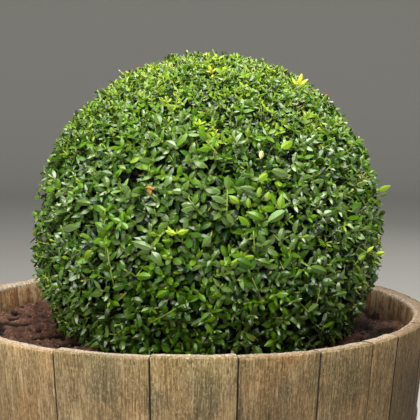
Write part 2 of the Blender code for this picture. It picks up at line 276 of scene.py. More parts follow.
class Shader:
    """The node tree of one material, whose nodes come from expressions."""

    def __init__(self, name: str) -> None:
        """Starts a material with its Principled shader.

        Args:
            name: The material's name.
        """
        self.material = bpy.data.materials.new(name)
        self.material.use_nodes = True
        self.tree = self.material.node_tree
        self.surface = self.tree.nodes["Principled BSDF"]

    def feed(self, socket: bpy.types.NodeSocket, value: object) -> None:
        """Links or sets one socket.

        Args:
            socket: The input socket.
            value: A Value, a number, a colour or a vector.
        """
        if isinstance(value, Value):
            self.tree.links.new(value.socket, socket)
        elif socket.type == "RGBA":
            socket.default_value = (*value, 1.0)
        else:
            socket.default_value = value

    def node(
        self,
        kind: str,
        settings: Settings | None = None,
        inputs: Inputs | None = None,
        output: int | str = 0,
    ) -> Value:
        """Adds a node.

        Args:
            kind: The node's type.
            settings: Its settings.
            inputs: The values or links of its sockets, by name or number.
            output: Which output to return.

        Returns:
            The output.
        """
        made = self.tree.nodes.new(kind)
        for name, setting in (settings or {}).items():
            setattr(made, name, setting)
        for name, value in (inputs or {}).items():
            self.feed(made.inputs[name], value)
        return Value(self, made.outputs[output])

    def ramp(self, value: Value, stops: Sequence[tuple[float, Colour]]) -> Value:
        """Maps a value onto a row of colours.

        Args:
            value: The value.
            stops: The place and colour of each stop, at least two.

        Returns:
            The colour.
        """
        made = self.tree.nodes.new("ShaderNodeValToRGB")
        elements = made.color_ramp.elements
        while len(elements) < len(stops):
            elements.new(1.0)
        for element, (place, colour) in zip(elements, stops, strict=True):
            element.position = place
            element.color = (*colour, 1.0)
        self.feed(made.inputs[0], value)
        return Value(self, made.outputs[0])

    def math(self, operation: str, *terms: "Value | float") -> Value:
        """Adds a Math node for its terms."""
        return self.node("ShaderNodeMath", {"operation": operation}, dict(enumerate(terms)))

    def attribute(self, name: str, output: str = "Vector") -> Value:
        """Reads one of the mesh's own attributes."""
        return self.node("ShaderNodeAttribute", {"attribute_name": name}, output=output)

    def place(self) -> Value:
        """Reads the place on the object."""
        return self.node("ShaderNodeTexCoord", output="Object")

    def parts(self, vector: Value) -> tuple[Value, Value, Value]:
        """Splits a vector.

        Args:
            vector: The vector.

        Returns:
            Its three values.
        """
        made = self.tree.nodes.new("ShaderNodeSeparateXYZ")
        self.feed(made.inputs[0], vector)
        return tuple(Value(self, made.outputs[number]) for number in range(3))

    def stretch(self, vector: Value, scale: Sequence[float]) -> Value:
        """Multiplies a vector by one factor along each axis."""
        return self.node("ShaderNodeVectorMath", {"operation": "MULTIPLY"}, {0: vector, 1: scale})

    def speckle(
        self, vector: Value, scale: Sequence[float], detail: float = 2.0, rough: float = 0.5
    ) -> Value:
        """Reads smooth noise.

        Args:
            vector: Where it is read.
            scale: Its repeats to the metre along each axis.
            detail: Its octaves.
            rough: How strong the finer octaves are.

        Returns:
            The noise, about 0.5.
        """
        settings = {"noise_dimensions": "3D"}
        inputs = {"Vector": self.stretch(vector, scale), "Scale": 1.0, "Detail": detail, "Roughness": rough}
        return self.node("ShaderNodeTexNoise", settings, inputs)

    def ease(self, value: Value, low: float, high: float) -> Value:
        """Maps a value from low to high onto 0 to 1, eased at both ends; high may be the lower number."""
        inputs = {"Value": value, "From Min": low, "From Max": high}
        return self.node("ShaderNodeMapRange", {"interpolation_type": "SMOOTHSTEP"}, inputs)

    def blend(self, share: Value | float, first: object, second: object, way: str = "MIX") -> Value:
        """Mixes two colours.

        Args:
            share: How much of the second shows, 0 to 1.
            first: The first colour or its Value.
            second: The second colour or its Value.
            way: The blend type.

        Returns:
            The mixed colour.
        """
        settings = {"data_type": "RGBA", "blend_type": way, "clamp_factor": True}
        return self.node("ShaderNodeMix", settings, {0: share, 6: first, 7: second}, output=2)

    def tint(self, share: Value | float, colour: object, tint: Colour) -> Value:
        """Multiplies a colour by a tint as far as a share from 0 to 1 says."""
        return self.blend(share, colour, tint, "MULTIPLY")

    def finish(self, **sockets: object) -> bpy.types.Material:
        """Feeds sockets of the Principled shader, whose names are given with _ for a space.

        Args:
            sockets: The value or link of each socket.

        Returns:
            The material.
        """
        for name, value in sockets.items():
            self.feed(self.surface.inputs[name.replace("_", " ")], value)
        return self.material

    def relief(self, height: Value, depth: float) -> Value:
        """Turns a height into a bumped normal; depth is its full height in metres."""
        return self.node("ShaderNodeBump", None, {"Strength": 1.0, "Distance": depth, "Height": height})


# ---------------------------------------------------------------- finishes


@dataclass(frozen=True)
class PlainFinish:
    """A finish that is the same all over, for pieces of many small parts."""

    name: str
    colour: Colour
    roughness: float
    gloss: float = 0.5

    def material(self) -> bpy.types.Material:
        """Makes the material."""
        surface = {"Base_Color": self.colour, "Roughness": self.roughness}
        return Shader(self.name).finish(**surface, Specular_IOR_Level=self.gloss)


class OakPattern:
    """The places and noises that the layers of weathered oak share.

    They come from three attributes of the mesh: grain, which is the place along the arc, in from the
    outer face and up the stave; wear_and_shade, which is the distance to the joint, the depth below the
    rim and how dark the stave is from 0 to 1, partly its own tone and partly painted shade; and tone,
    which is how amber, grey and olive the stave is.
    """

    def __init__(self, shader: Shader, inner_depth: float) -> None:
        """Makes the shared nodes in a shader.

        Args:
            shader: The shader.
            inner_depth: How far in from the outer face the inner wall begins.
        """
        grain = shader.attribute("grain")
        self.inward = shader.parts(grain)[1]
        self.to_joint, self.below_rim, dark_tone_and_shade = shader.parts(shader.attribute("wear_and_shade"))
        self.amber, self.grey, self.olive = shader.parts(shader.attribute("tone"))

        self.fibre = shader.speckle(grain, (860.0, 860.0, 100.0), 2.0, 0.6)
        self.fine = shader.speckle(grain, (520.0, 520.0, 30.0), 2.0, 0.6)
        self.streak = shader.speckle(grain, (230.0, 230.0, 12.0), 3.0, 0.6)
        self.figure = shader.speckle(grain, (46.0, 46.0, 7.0), 3.0, 0.55)
        self.mottle = shader.speckle(grain, (170.0, 170.0, 110.0), 3.0, 0.6)
        self.patch = shader.speckle(grain, (15.0, 15.0, 10.0), 3.0, 0.6)
        self.stain = shader.speckle(grain, (9.0, 9.0, 6.5), 2.0, 0.5)
        self.fleck = shader.speckle(grain, (420.0, 420.0, 230.0), 2.0, 0.6)
        split = abs(shader.speckle(grain, (60.0, 60.0, 9.0), 3.0, 0.6) - 0.5)
        self.splits = shader.ease(split, 0.006, 0.002) * shader.ease(self.patch, 0.56, 0.64)

        low_down = shader.ease(self.below_rim + self.patch * 0.06, 0.04, 0.11)
        fibres = self.fibre * (0.32 - 0.12 * low_down) + self.fine * 0.30
        streaks = self.streak * (0.12 + 0.12 * low_down)
        self.level = fibres + streaks + self.figure * 0.14 + self.mottle * 0.12
        self.inside = shader.ease(self.inward, inner_depth - 0.002, inner_depth)
        self.sooty = shader.ease(self.to_joint + self.fine * 0.0010, 0.0018, 0.0009)
        # painted shade and tone: how dark the stave is, weaker on the inner wall
        self.dark_tone_and_shade = dark_tone_and_shade * (1.0 - 0.55 * self.inside)


@dataclass(frozen=True)
class OakFinish:
    """Weathered oak whose grain runs up the staves."""

    name: str = "weathered_oak"
    dark: Colour = display(58, 43, 27)
    middle: Colour = display(137, 114, 81)
    light: Colour = display(199, 176, 142)
    joint: Colour = display(34, 22, 13)
    sawn: Colour = display(159, 144, 129)
    sawn_shadow: Colour = display(124, 102, 82)
    sawn_fleck: Colour = display(208, 192, 168)
    sawn_pit: Colour = display(92, 72, 54)
    bloom: Colour = display(194, 168, 132)  # dry pale patches inside
    # The rest are tints, which a colour is multiplied by.
    grey: Colour = (0.60, 0.67, 0.68)
    olive: Colour = (0.99, 1.01, 0.88)
    amber: Colour = (1.18, 0.84, 0.58)
    sun: Colour = (1.22, 1.21, 1.20)  # painted light just under the rim
    shade: Colour = (0.87, 0.86, 0.83)  # painted shade from a hand's width below it
    rubbed: Colour = (1.02, 1.06, 1.16)  # along the joints
    shaded_dark_stave: Colour = (0.34, 0.31, 0.28)  # of a wholly dark stave, whose dark is partly its tone and partly painted shade
    shaded_dark_top: Colour = (0.40, 0.31, 0.20)  # of its sawn top, also partly painted shade
    bevel: Colour = (0.74, 0.73, 0.78)  # of the rim's worn outer edge
    paler_wood_and_painted_light: Colour = (1.34, 1.20, 1.16)  # of the whole inner wall, lighter: partly paler wood, partly painted light
    grime: Colour = (0.58, 0.48, 0.42)  # of its damp places
    damp_stain_and_shade: Colour = (0.36, 0.26, 0.22)  # just above the compost: partly a damp stain, partly painted shade
    inner_depth: float = 0.0165  # how far in the inner wall begins
    rim_depth: float = 0.0004  # how far down the sawn top keeps its full colour
    rim_bevel: float = 0.0058  # how far in the rim's worn outer edge keeps the face's colour

    def face(self, shader: Shader, oak: OakPattern) -> Value:
        """Gives the colour of the weathered face, with painted light just under the rim and painted shade
        from a hand's width down.

        Args:
            shader: The shader.
            oak: Its shared nodes.

        Returns:
            The colour.
        """
        wood = shader.ramp(oak.level, ((0.365, self.dark), (0.50, self.middle), (0.635, self.light)))
        greyed = shader.ease(oak.patch + oak.grey * 0.12, 0.46, 0.64) * (0.22 + 0.8 * oak.grey)
        wood = shader.tint(greyed, wood, self.grey)
        reddened = shader.ease(oak.stain + oak.amber * 0.12, 0.48, 0.66) * (0.10 + 0.7 * oak.amber)
        wood = shader.tint(reddened, wood, self.amber)
        near_rim = shader.ease(oak.below_rim + oak.patch * 0.05, 0.105, 0.02)
        wood = shader.tint(near_rim * (0.2 + oak.olive), wood, self.olive)
        wood = shader.blend(shader.ease(oak.fleck, 0.57, 0.66) * 0.40, wood, self.light)
        wood = shader.blend(shader.ease(oak.fleck, 0.43, 0.34) * 0.50, wood, self.dark)
        wood = shader.blend(oak.splits * 0.60, wood, self.joint)
        # painted light under the rim, then painted shade lower down
        wood = shader.tint(shader.ease(oak.below_rim, 0.042, 0.0), wood, self.sun)
        return shader.tint(shader.ease(oak.below_rim, 0.028, 0.080), wood, self.shade)

    def inner_wall(self, shader: Shader, oak: OakPattern, wood: Value) -> Value:
        """Adds the inner wall's lighter tint, partly painted light, its grime and dry bloom, and its darker
        foot, partly painted shade.

        Args:
            shader: The shader.
            oak: Its shared nodes.
            wood: The colour of the face.

        Returns:
            The colour with the inner wall's own.
        """
        # painted light: the whole inner wall is made lighter, partly as paler wood
        wood = shader.tint(oak.inside, wood, self.paler_wood_and_painted_light)
        weathering = oak.figure * 0.40 + oak.mottle * 0.30 + oak.patch * 0.30
        wood = shader.tint(oak.inside * shader.ease(weathering, 0.490, 0.450) * 0.60, wood, self.grime)
        wood = shader.blend(oak.inside * shader.ease(weathering, 0.495, 0.530) * 0.75, wood, self.bloom)
        # painted shade: the inner wall darkens just above the compost, partly as a damp stain
        damp_stain_and_shade = shader.ease(oak.below_rim + oak.figure * 0.040, 0.036, 0.056)
        return shader.tint(oak.inside * damp_stain_and_shade * 0.60, wood, self.damp_stain_and_shade)

    def joints(self, shader: Shader, oak: OakPattern, wood: Value) -> Value:
        """Adds the rubbed and sooty edges along the joints, and how dark each stave is,
        partly its tone and partly painted shade.

        Args:
            shader: The shader.
            oak: Its shared nodes.
            wood: The colour so far.

        Returns:
            The colour with its edges.
        """
        rubbed = shader.ease(oak.to_joint + oak.streak * 0.004, 0.0085, 0.0035)
        wood = shader.tint(rubbed * 0.35, wood, self.rubbed)
        wood = shader.blend(oak.sooty * (0.85 - 0.20 * oak.inside), wood, self.joint)
        # painted shade: each stave is darkened as far as its dark tone and painted shade say
        return shader.tint(oak.dark_tone_and_shade, wood, self.shaded_dark_stave)

    def sawn_top(self, shader: Shader, oak: OakPattern, wood: Value) -> Value:
        """Adds the paler end grain of the tops and their worn outer edge.

        Args:
            shader: The shader.
            oak: Its shared nodes.
            wood: The colour so far.

        Returns:
            The colour with the tops' own.
        """
        inner_slope = shader.ease(oak.inward, 0.010, 0.016) * 0.0042
        below_top = oak.below_rim - inner_slope + oak.streak * 0.0014
        top = shader.ease(below_top, self.rim_depth + 0.0012, self.rim_depth)
        bevel = shader.ease(oak.inward + oak.fine * 0.0040, self.rim_bevel + 0.0025, self.rim_bevel)
        wood = shader.tint(top * bevel, wood, self.bevel)
        grain = shader.ease(oak.streak * 0.5 + oak.fibre * 0.5, 0.40, 0.54)
        pale = shader.blend(grain, self.sawn_shadow, self.sawn)
        pale = shader.blend(shader.ease(oak.fleck, 0.52, 0.60) * 0.60, pale, self.sawn_fleck)
        pale = shader.blend(shader.ease(oak.fleck, 0.46, 0.38) * 0.60, pale, self.sawn_pit)
        # painted shade: the sawn top is darkened along with its stave
        pale = shader.tint(oak.dark_tone_and_shade, pale, self.shaded_dark_top)
        return shader.blend(top * (1.0 - bevel) * (1.0 - 0.8 * oak.sooty), wood, pale)

    def material(self) -> bpy.types.Material:
        """Makes the material, layer by layer.

        Returns:
            The material.
        """
        shader = Shader(self.name)
        oak = OakPattern(shader, self.inner_depth)
        wood = self.face(shader, oak)
        wood = self.inner_wall(shader, oak, wood)
        wood = self.joints(shader, oak, wood)
        wood = self.sawn_top(shader, oak, wood)
        height = oak.fibre * 0.35 + oak.fine * 0.35 + oak.streak * 0.30 - oak.splits * 0.9
        return shader.finish(
            Base_Color=wood,
            Roughness=0.94 - oak.level * 0.20,
            Specular_IOR_Level=0.25,
            Normal=shader.relief(height, 0.0014),
        )


@dataclass(frozen=True)
class StreakFinish:
    """A rough finish that is darker and lighter along streaks."""

    name: str
    dark: Colour
    light: Colour
    scale: tuple[float, float, float]  # repeats of the streaks to the metre along each axis
    rough: float  # how strong the finer streaks are
    contrast: tuple[float, float]  # the noise where it is wholly dark and wholly light
    roughness: float
    depth: float

    def material(self) -> bpy.types.Material:
        """Makes the material.

        Returns:
            The material.
        """
        shader = Shader(self.name)
        streak = shader.speckle(shader.place(), self.scale, 4.0, self.rough)
        colour = shader.blend(shader.ease(streak, *self.contrast), self.dark, self.light)
        relief = shader.relief(streak, self.depth)
        return shader.finish(Base_Color=colour, Roughness=self.roughness, Normal=relief)


FLOOR_OAK = StreakFinish(  # its grain runs along X
    "floor_board_oak",
    display(84, 64, 44),
    display(138, 112, 80),
    (12.0, 160.0, 160.0),
    0.6,
    (0.35, 0.65),
    0.88,
    0.0008,
)
BOX_BARK = StreakFinish(
    "box_bark",
    display(72, 56, 40),
    display(158, 132, 98),
    (320.0, 320.0, 110.0),
    0.65,
    (0.38, 0.62),
    0.9,
    0.0012,
)


@dataclass(frozen=True)
class HoopFinish:
    """Dark weathered steel with brown rust."""

    name: str = "weathered_hoop_steel"
    steel: Colour = display(74, 70, 68)
    rust: Colour = display(98, 60, 38)

    def material(self) -> bpy.types.Material:
        """Makes the material.

        Returns:
            The material.
        """
        shader = Shader(self.name)
        place = shader.place()
        blotch = shader.speckle(place, (45.0, 45.0, 60.0), 4.0, 0.65)
        pits = shader.speckle(place, (600.0, 600.0, 600.0), 3.0, 0.6)
        rusty = shader.ease(blotch + pits * 0.15, 0.52, 0.68)
        return shader.finish(
            Base_Color=shader.blend(rusty, self.steel, self.rust),
            Metallic=0.85 - rusty * 0.75,
            Roughness=0.42 + rusty * 0.40,
            Normal=shader.relief(pits + blotch, 0.0004),
        )


@dataclass(frozen=True)
class SoilFinish:
    """Moist reddish-brown compost."""

    name: str = "moist_compost"
    dark: Colour = display(20, 12, 8)
    middle: Colour = display(90, 62, 49)
    light: Colour = display(160, 124, 100)

    def material(self) -> bpy.types.Material:
        """Makes the material; its mesh's attribute depth says how far a place is darkened: painted shade
        between the clods and painted shadow over the right side.

        Returns:
            The material.
        """
        shader = Shader(self.name)
        place = shader.place()
        crumb = shader.speckle(place, (260.0, 260.0, 260.0), 5.0, 0.7)
        wide = shader.speckle(place, (28.0, 28.0, 28.0), 3.0, 0.5)
        stops = ((0.34, self.dark), (0.52, self.middle), (0.72, self.light))
        colour = shader.ramp(crumb * 0.6 + wide * 0.4, stops)
        deep = shader.attribute("depth", "Fac")
        # painted shade: the hollows between the clods and the right side are darkened
        colour = shader.blend(shader.ease(deep + crumb * 0.3, 0.22, 0.72) * 0.95, colour, self.dark)
        bumps = shader.relief(crumb, 0.0026)
        return shader.finish(Base_Color=colour, Roughness=0.95, Specular_IOR_Level=0.2, Normal=bumps)


class Tone(IntEnum):
    """The finishes of leaves, dealt out by spray; each is also its material slot."""

    OLD = 0
    DEEP = 1
    MIDDLE = 2
    FRESH = 3
    GREY = 4
    YOUNG = 5
    LIME = 6
    PALE = 7
    DEAD = 8
    UNDER = 9
    UNDER_YOUNG = 10
    GOLD = 11


LEAF_FINISHES = {
    # the near-black green of the inner leaves: old leaves, darkened as painted shade of the ball's inside
    Tone.OLD: PlainFinish("leaf_old_green_in_shade", display(8, 19, 3), 0.50, 0.2),
    Tone.DEEP: PlainFinish("leaf_deep_green", display(22, 49, 3), 0.33, 0.6),
    Tone.MIDDLE: PlainFinish("leaf_green", display(52, 90, 3), 0.34, 0.6),
    Tone.FRESH: PlainFinish("leaf_fresh_green", display(82, 122, 5), 0.36, 0.5),
    # a grey-green whose paleness is partly a painted sheen of the sky
    Tone.GREY: PlainFinish("leaf_grey_green_with_sheen", display(80, 108, 38), 0.31, 0.9),
    Tone.YOUNG: PlainFinish("leaf_young_green", display(111, 140, 24), 0.40, 0.35),
    Tone.LIME: PlainFinish("leaf_lime", display(148, 172, 36), 0.42, 0.25),
    Tone.PALE: PlainFinish("leaf_bleached", display(178, 180, 116), 0.50, 0.4),
    Tone.DEAD: PlainFinish("leaf_dead_orange", display(150, 110, 46), 0.65, 0.2),
    Tone.UNDER: PlainFinish("leaf_underside", display(84, 112, 38), 0.60, 0.4),
    Tone.UNDER_YOUNG: PlainFinish("leaf_young_underside", display(136, 158, 46), 0.60, 0.4),
    Tone.GOLD: PlainFinish("leaf_golden", display(184, 184, 48), 0.45, 0.4),
}
# The tones whose undersides differ from their upper faces.
UNDERSIDES = {
    Tone.OLD: Tone.DEEP,
    Tone.DEEP: Tone.UNDER,
    Tone.MIDDLE: Tone.UNDER,
    Tone.FRESH: Tone.UNDER,
    Tone.GREY: Tone.UNDER,
    Tone.YOUNG: Tone.UNDER_YOUNG,
}


# ---------------------------------------------------------------- many copies of one small mesh


@dataclass(frozen=True)
class Pattern:
    """The arrays of one small mesh that is copied many times."""

    points: np.ndarray
    edges: np.ndarray
    sharp: np.ndarray
    corners: np.ndarray
    corner_edges: np.ndarray
    starts: np.ndarray
    kinds: np.ndarray

    @classmethod
    def read(cls, mesh: bpy.types.Mesh) -> "Pattern":
        """Reads the arrays of a mesh and removes it.

        Args:
            mesh: The mesh.

        Returns:
            The pattern.
        """

        def values(things: bpy.types.bpy_prop_collection, name: str, width: int, kind: type) -> np.ndarray:
            """Reads one property of all things, in rows where it is wider than one."""
            found = np.empty(len(things) * width, kind)
            things.foreach_get(name, found)
            return found.reshape(-1, width) if width > 1 else found

        pattern = cls(
            values(mesh.vertices, "co", 3, np.float32),
            values(mesh.edges, "vertices", 2, np.int32),
            values(mesh.edges, "use_edge_sharp", 1, bool),
            values(mesh.loops, "vertex_index", 1, np.int32),
            values(mesh.loops, "edge_index", 1, np.int32),
            values(mesh.polygons, "loop_start", 1, np.int32),
            values(mesh.polygons, "material_index", 1, np.int32),
        )
        bpy.data.meshes.remove(mesh)
        return pattern


@dataclass
class Copies:
    """Where the copies of one pattern go and which slots their faces take."""

    pattern: Pattern
    places: list[Matrix] = field(default_factory=list)
    slots: list[Sequence[int]] = field(default_factory=list)

    def add(self, place: Matrix, slots: Sequence[int]) -> None:
        """Adds a copy; slots holds the material slot for each kind of face in the pattern."""
        self.places.append(place)
        self.slots.append(slots)


def join_copies(name: str, groups: Sequence[Copies]) -> bpy.types.Mesh:
    """Makes one mesh of all the copies in some groups.

    Args:
        name: The mesh's name.
        groups: The groups, at least one with a copy.

    Returns:
        The mesh, shaded smooth but for its sharp edges.
    """
    points, edges, sharp, corners, corner_edges, starts, slots = ([] for _ in range(7))
    point_total = edge_total = corner_total = 0
    for group in groups:
        count = len(group.places)
        if not count:
            continue
        pattern = group.pattern
        places = np.array([[row[:] for row in place] for place in group.places], np.float32)
        turned = np.einsum("nij,vj->nvi", places[:, :3, :3], pattern.points)
        points.append((turned + places[:, None, :3, 3]).reshape(-1, 3))
        steps = np.arange(count)[:, None]
        edges.append((pattern.edges.ravel() + steps * len(pattern.points) + point_total).reshape(-1, 2))
        sharp.append(np.tile(pattern.sharp, count))
        corners.append((pattern.corners + steps * len(pattern.points) + point_total).ravel())
        corner_edges.append((pattern.corner_edges + steps * len(pattern.edges) + edge_total).ravel())
        starts.append((pattern.starts + steps * len(pattern.corners) + corner_total).ravel())
        slots.append(np.array(group.slots, np.int32)[:, pattern.kinds].ravel())
        point_total += count * len(pattern.points)
        edge_total += count * len(pattern.edges)
        corner_total += count * len(pattern.corners)

    mesh = bpy.data.meshes.new(name)
    mesh.vertices.add(point_total)
    mesh.edges.add(edge_total)
    mesh.loops.add(corner_total)
    mesh.polygons.add(sum(len(part) for part in starts))
    mesh.vertices.foreach_set("co", np.concatenate(points).ravel())
    mesh.edges.foreach_set("vertices", np.concatenate(edges).ravel().astype(np.int32))
    mesh.loops.foreach_set("vertex_index", np.concatenate(corners).astype(np.int32))
    mesh.loops.foreach_set("edge_index", np.concatenate(corner_edges).astype(np.int32))
    mesh.polygons.foreach_set("loop_start", np.concatenate(starts).astype(np.int32))
    mesh.polygons.foreach_set("material_index", np.concatenate(slots).astype(np.int32))
    mesh.edges.foreach_set("use_edge_sharp", np.concatenate(sharp))
    mesh.update()
    return mesh


# ---------------------------------------------------------------- the view


@dataclass(frozen=True)
class Viewpoint:
    """Where the camera stands and how the picture's pixels meet the object."""

    distance: float = 1.8024  # from the tub's axis
    height: float = 0.7719  # above the ground
    yaw_deg: float = 0.826
    pitch_deg: float = 6.879
    roll_deg: float = 0.353
    focal_pixels: float = 1300.0
    clip_start: float = 0.05

    def place(self) -> Vector:
        """Gives where the camera stands."""
        return Vector((0.0, -self.distance, self.height))

    def axes(self) -> tuple[Vector, Vector, Vector]:
        """Works out how the camera is turned.

        Returns:
            The directions to the picture's right, to its top and into it.
        """
        yaw, pitch, roll = map(math.radians, (self.yaw_deg, self.pitch_deg, self.roll_deg))
        flat = math.cos(pitch)
        ahead = Vector((math.sin(yaw) * flat, math.cos(yaw) * flat, -math.sin(pitch)))
        level = Vector((math.cos(yaw), -math.sin(yaw), 0.0))
        above = level.cross(ahead)
        right = level * math.cos(roll) + above * math.sin(roll)
        top = above * math.cos(roll) - level * math.sin(roll)
        return right, top, ahead

    def ray(self, pixel: tuple[float, float]) -> Vector:
        """Gives the direction from the camera through a pixel.

        Args:
            pixel: How far right and how far down the picture it is.

        Returns:
            The direction.
        """
        right, top, ahead = self.axes()
        middle = PICTURE_SIDE / 2.0
        along = ahead * self.focal_pixels + right * (pixel[0] - middle) - top * (pixel[1] - middle)
        return along.normalized()

    def build(self) -> None:
        """Makes the camera."""
        right, top, ahead = self.axes()
        lens = bpy.data.cameras.new("camera")
        lens.sensor_width = SENSOR_WIDTH
        lens.lens = SENSOR_WIDTH * self.focal_pixels / PICTURE_SIDE
        lens.clip_start = self.clip_start
        camera = bpy.data.objects.new("camera", lens)
        turn = Matrix((right, top, -ahead)).transposed().to_4x4()
        camera.matrix_world = Matrix.Translation(self.place()) @ turn
        bpy.context.scene.collection.objects.link(camera)
        bpy.context.scene.camera = camera


WARM_WHITE = (1.0, 0.99, 0.94)
COOL_WHITE = (0.92, 0.96, 1.0)


@dataclass(frozen=True)
class SoftLight:
    """A square studio light."""

    name: str
    place: Vector
    side: float
    power: float
    colour: Colour = WARM_WHITE

    def build(self, target: Vector) -> None:
        """Makes the light.

        Args:
            target: The point that it is turned to.
        """
        lamp = bpy.data.lights.new(self.name, "AREA")
        lamp.shape = "SQUARE"
        lamp.size = self.side
        lamp.energy = self.power
        lamp.color = self.colour
        light = bpy.data.objects.new(self.name, lamp)
        light.location = self.place
        light.rotation_euler = (target - self.place).to_track_quat("-Z", "Y").to_euler()
        bpy.context.scene.collection.objects.link(light)


@dataclass
class Studio:
    """The pale round floor that sweeps up all round, the lights and the sky above."""

    floor_radius: float = 5.2
    sweep_radius: float = 1.6
    sweep_steps: int = 12
    wall_height: float = 3.2
    turn_steps: int = 96
    sky: Colour = COOL_WHITE
    sky_strength: float = 0.12
    floor_colour: Colour = display(176, 174, 169)
    lights: tuple[SoftLight, ...] = (
        SoftLight("overhead_light", Vector((0.10, -0.9, 3.0)), 2.8, 230.0),
        SoftLight("back_light", Vector((1.5, 3.0, 1.9)), 2.0, 14.0, (1.0, 0.99, 0.95)),
        SoftLight("front_left_light", Vector((-2.0, -2.9, 1.9)), 1.8, 74.0),
    )
    target: Vector = Vector((0.0, 0.0, 0.5))  # that the lights are turned to

    def build_floor(self) -> None:
        """Makes the floor and its sweep from one profile."""
        wall_radius = self.floor_radius + self.sweep_radius
        profile = [(0.0, 0.0), (self.floor_radius * 0.5, 0.0)]
        for step in range(self.sweep_steps + 1):
            angle = 0.5 * math.pi * step / self.sweep_steps
            radius = self.floor_radius + self.sweep_radius * math.sin(angle)
            profile.append((radius, self.sweep_radius - self.sweep_radius * math.cos(angle)))
        profile.append((wall_radius, self.wall_height))
        form = bmesh.new()
        turn_profile(form, profile, self.turn_steps)
        mesh = mesh_from(form, "studio_floor")
        if sum(face.normal.z for face in mesh.polygons) < 0.0:
            mesh.flip_normals()
        mesh.materials.append(PlainFinish("pale_floor", self.floor_colour, 0.85).material())
        floor = bpy.data.objects.new("studio_floor", mesh)
        bpy.context.scene.collection.objects.link(floor)

    def build(self) -> None:
        """Makes the floor, the lights and the sky."""
        self.build_floor()
        for light in self.lights:
            light.build(self.target)
        world = bpy.data.worlds.new("sky")
        world.use_nodes = True
        glow = world.node_tree.nodes["Background"]
        glow.inputs["Color"].default_value = (*self.sky, 1.0)
        glow.inputs["Strength"].default_value = self.sky_strength
        bpy.context.scene.world = world
        bpy.context.scene.view_settings.view_transform = "Standard"


# ---------------------------------------------------------------- the tub


@dataclass(frozen=True)
class StavePlace:
    """Which share of the circle a packed stave takes, and how high it stands."""

    name: str
    start: float
    width: float
    top: float

    @classmethod
    def of(cls, name: str) -> "StavePlace":
        """Measures a stave of the frame.

        Args:
            name: Its node.

        Returns:
            Its place.
        """
        points = node_points(name)
        angles = np.arctan2(points[:, 0], -points[:, 1])
        middle = math.atan2(points[:, 0].mean(), -points[:, 1].mean())
        apart = (angles - middle + math.pi) % math.tau - math.pi
        return cls(name, middle + apart.min(), apart.max() - apart.min(), points[:, 2].max())


@dataclass(frozen=True)
class TubShape:
    """The round that all staves share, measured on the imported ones."""

    foot_zone: ClassVar[float] = 0.001  # height that counts as the foot
    middle_zone: ClassVar[float] = 0.004  # above and below the middle that counts as the middle
    height: float
    rim_radius: float
    foot_radius: float
    bow: float
    thickness: float

    @classmethod
    def measured(cls) -> "TubShape":
        """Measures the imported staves.

        Returns:
            Their shape.
        """
        points = np.concatenate([node_points(name) for name in nodes_named("stave_")])
        radii = np.hypot(points[:, 0], points[:, 1])
        heights = points[:, 2]
        height = heights.max()
        feet = radii[heights < cls.foot_zone]
        middle = radii[abs(heights - height / 2.0) < cls.middle_zone].max()
        rim, foot = radii.max(), feet.max()
        return cls(height, rim, foot, middle - (rim + foot) / 2.0, foot - feet.min())

    def outer_radius(self, height: float) -> float:
        """Gives the outside radius at a height.

        Args:
            height: The height above the ground.

        Returns:
            The radius.
        """
        share = height / self.height
        bow = 4.0 * self.bow * share * (1.0 - share)
        return self.foot_radius + (self.rim_radius - self.foot_radius) * share + bow

    def inner_radius(self, height: float) -> float:
        """Gives the inside radius at a height above the ground."""
        return self.outer_radius(height) - self.thickness

    def seen_at(self, view: Viewpoint, pixel: tuple[float, float]) -> Vector:
        """Gives the point of the outer face that a pixel shows, closed in on step by step.

        Args:
            view: The viewpoint.
            pixel: The pixel.

        Returns:
            The point.
        """
        start, ray = view.place(), view.ray(pixel)
        across = ray.xy.length_squared
        nearest = -start.xy.dot(ray.xy) / across
        miss = (start.xy + ray.xy * nearest).length_squared
        point = UP * (self.height * 0.9)
        for _ in range(4):
            inside = max(0.0, self.outer_radius(point.z) ** 2 - miss)
            point = start + ray * (nearest - math.sqrt(inside / across))
        return point


Tint = tuple[float, float, float]  # how amber, grey and olive a place of a stave is


@dataclass(frozen=True)
class Stain:
    """A patch of the tub's outer face that has weathered to a colour of its own."""

    pixel: tuple[float, float]  # where it shows
    radius: float
    tint: Tint  # added to the stave's own


@dataclass(frozen=True)
class FacePoint:
    """Where a point of a stave lies, in the stave's own measures."""

    arc: float  # from its first edge
    to_joint: float
    inward: float  # from its outer face
    height: float
    below: float  # its top


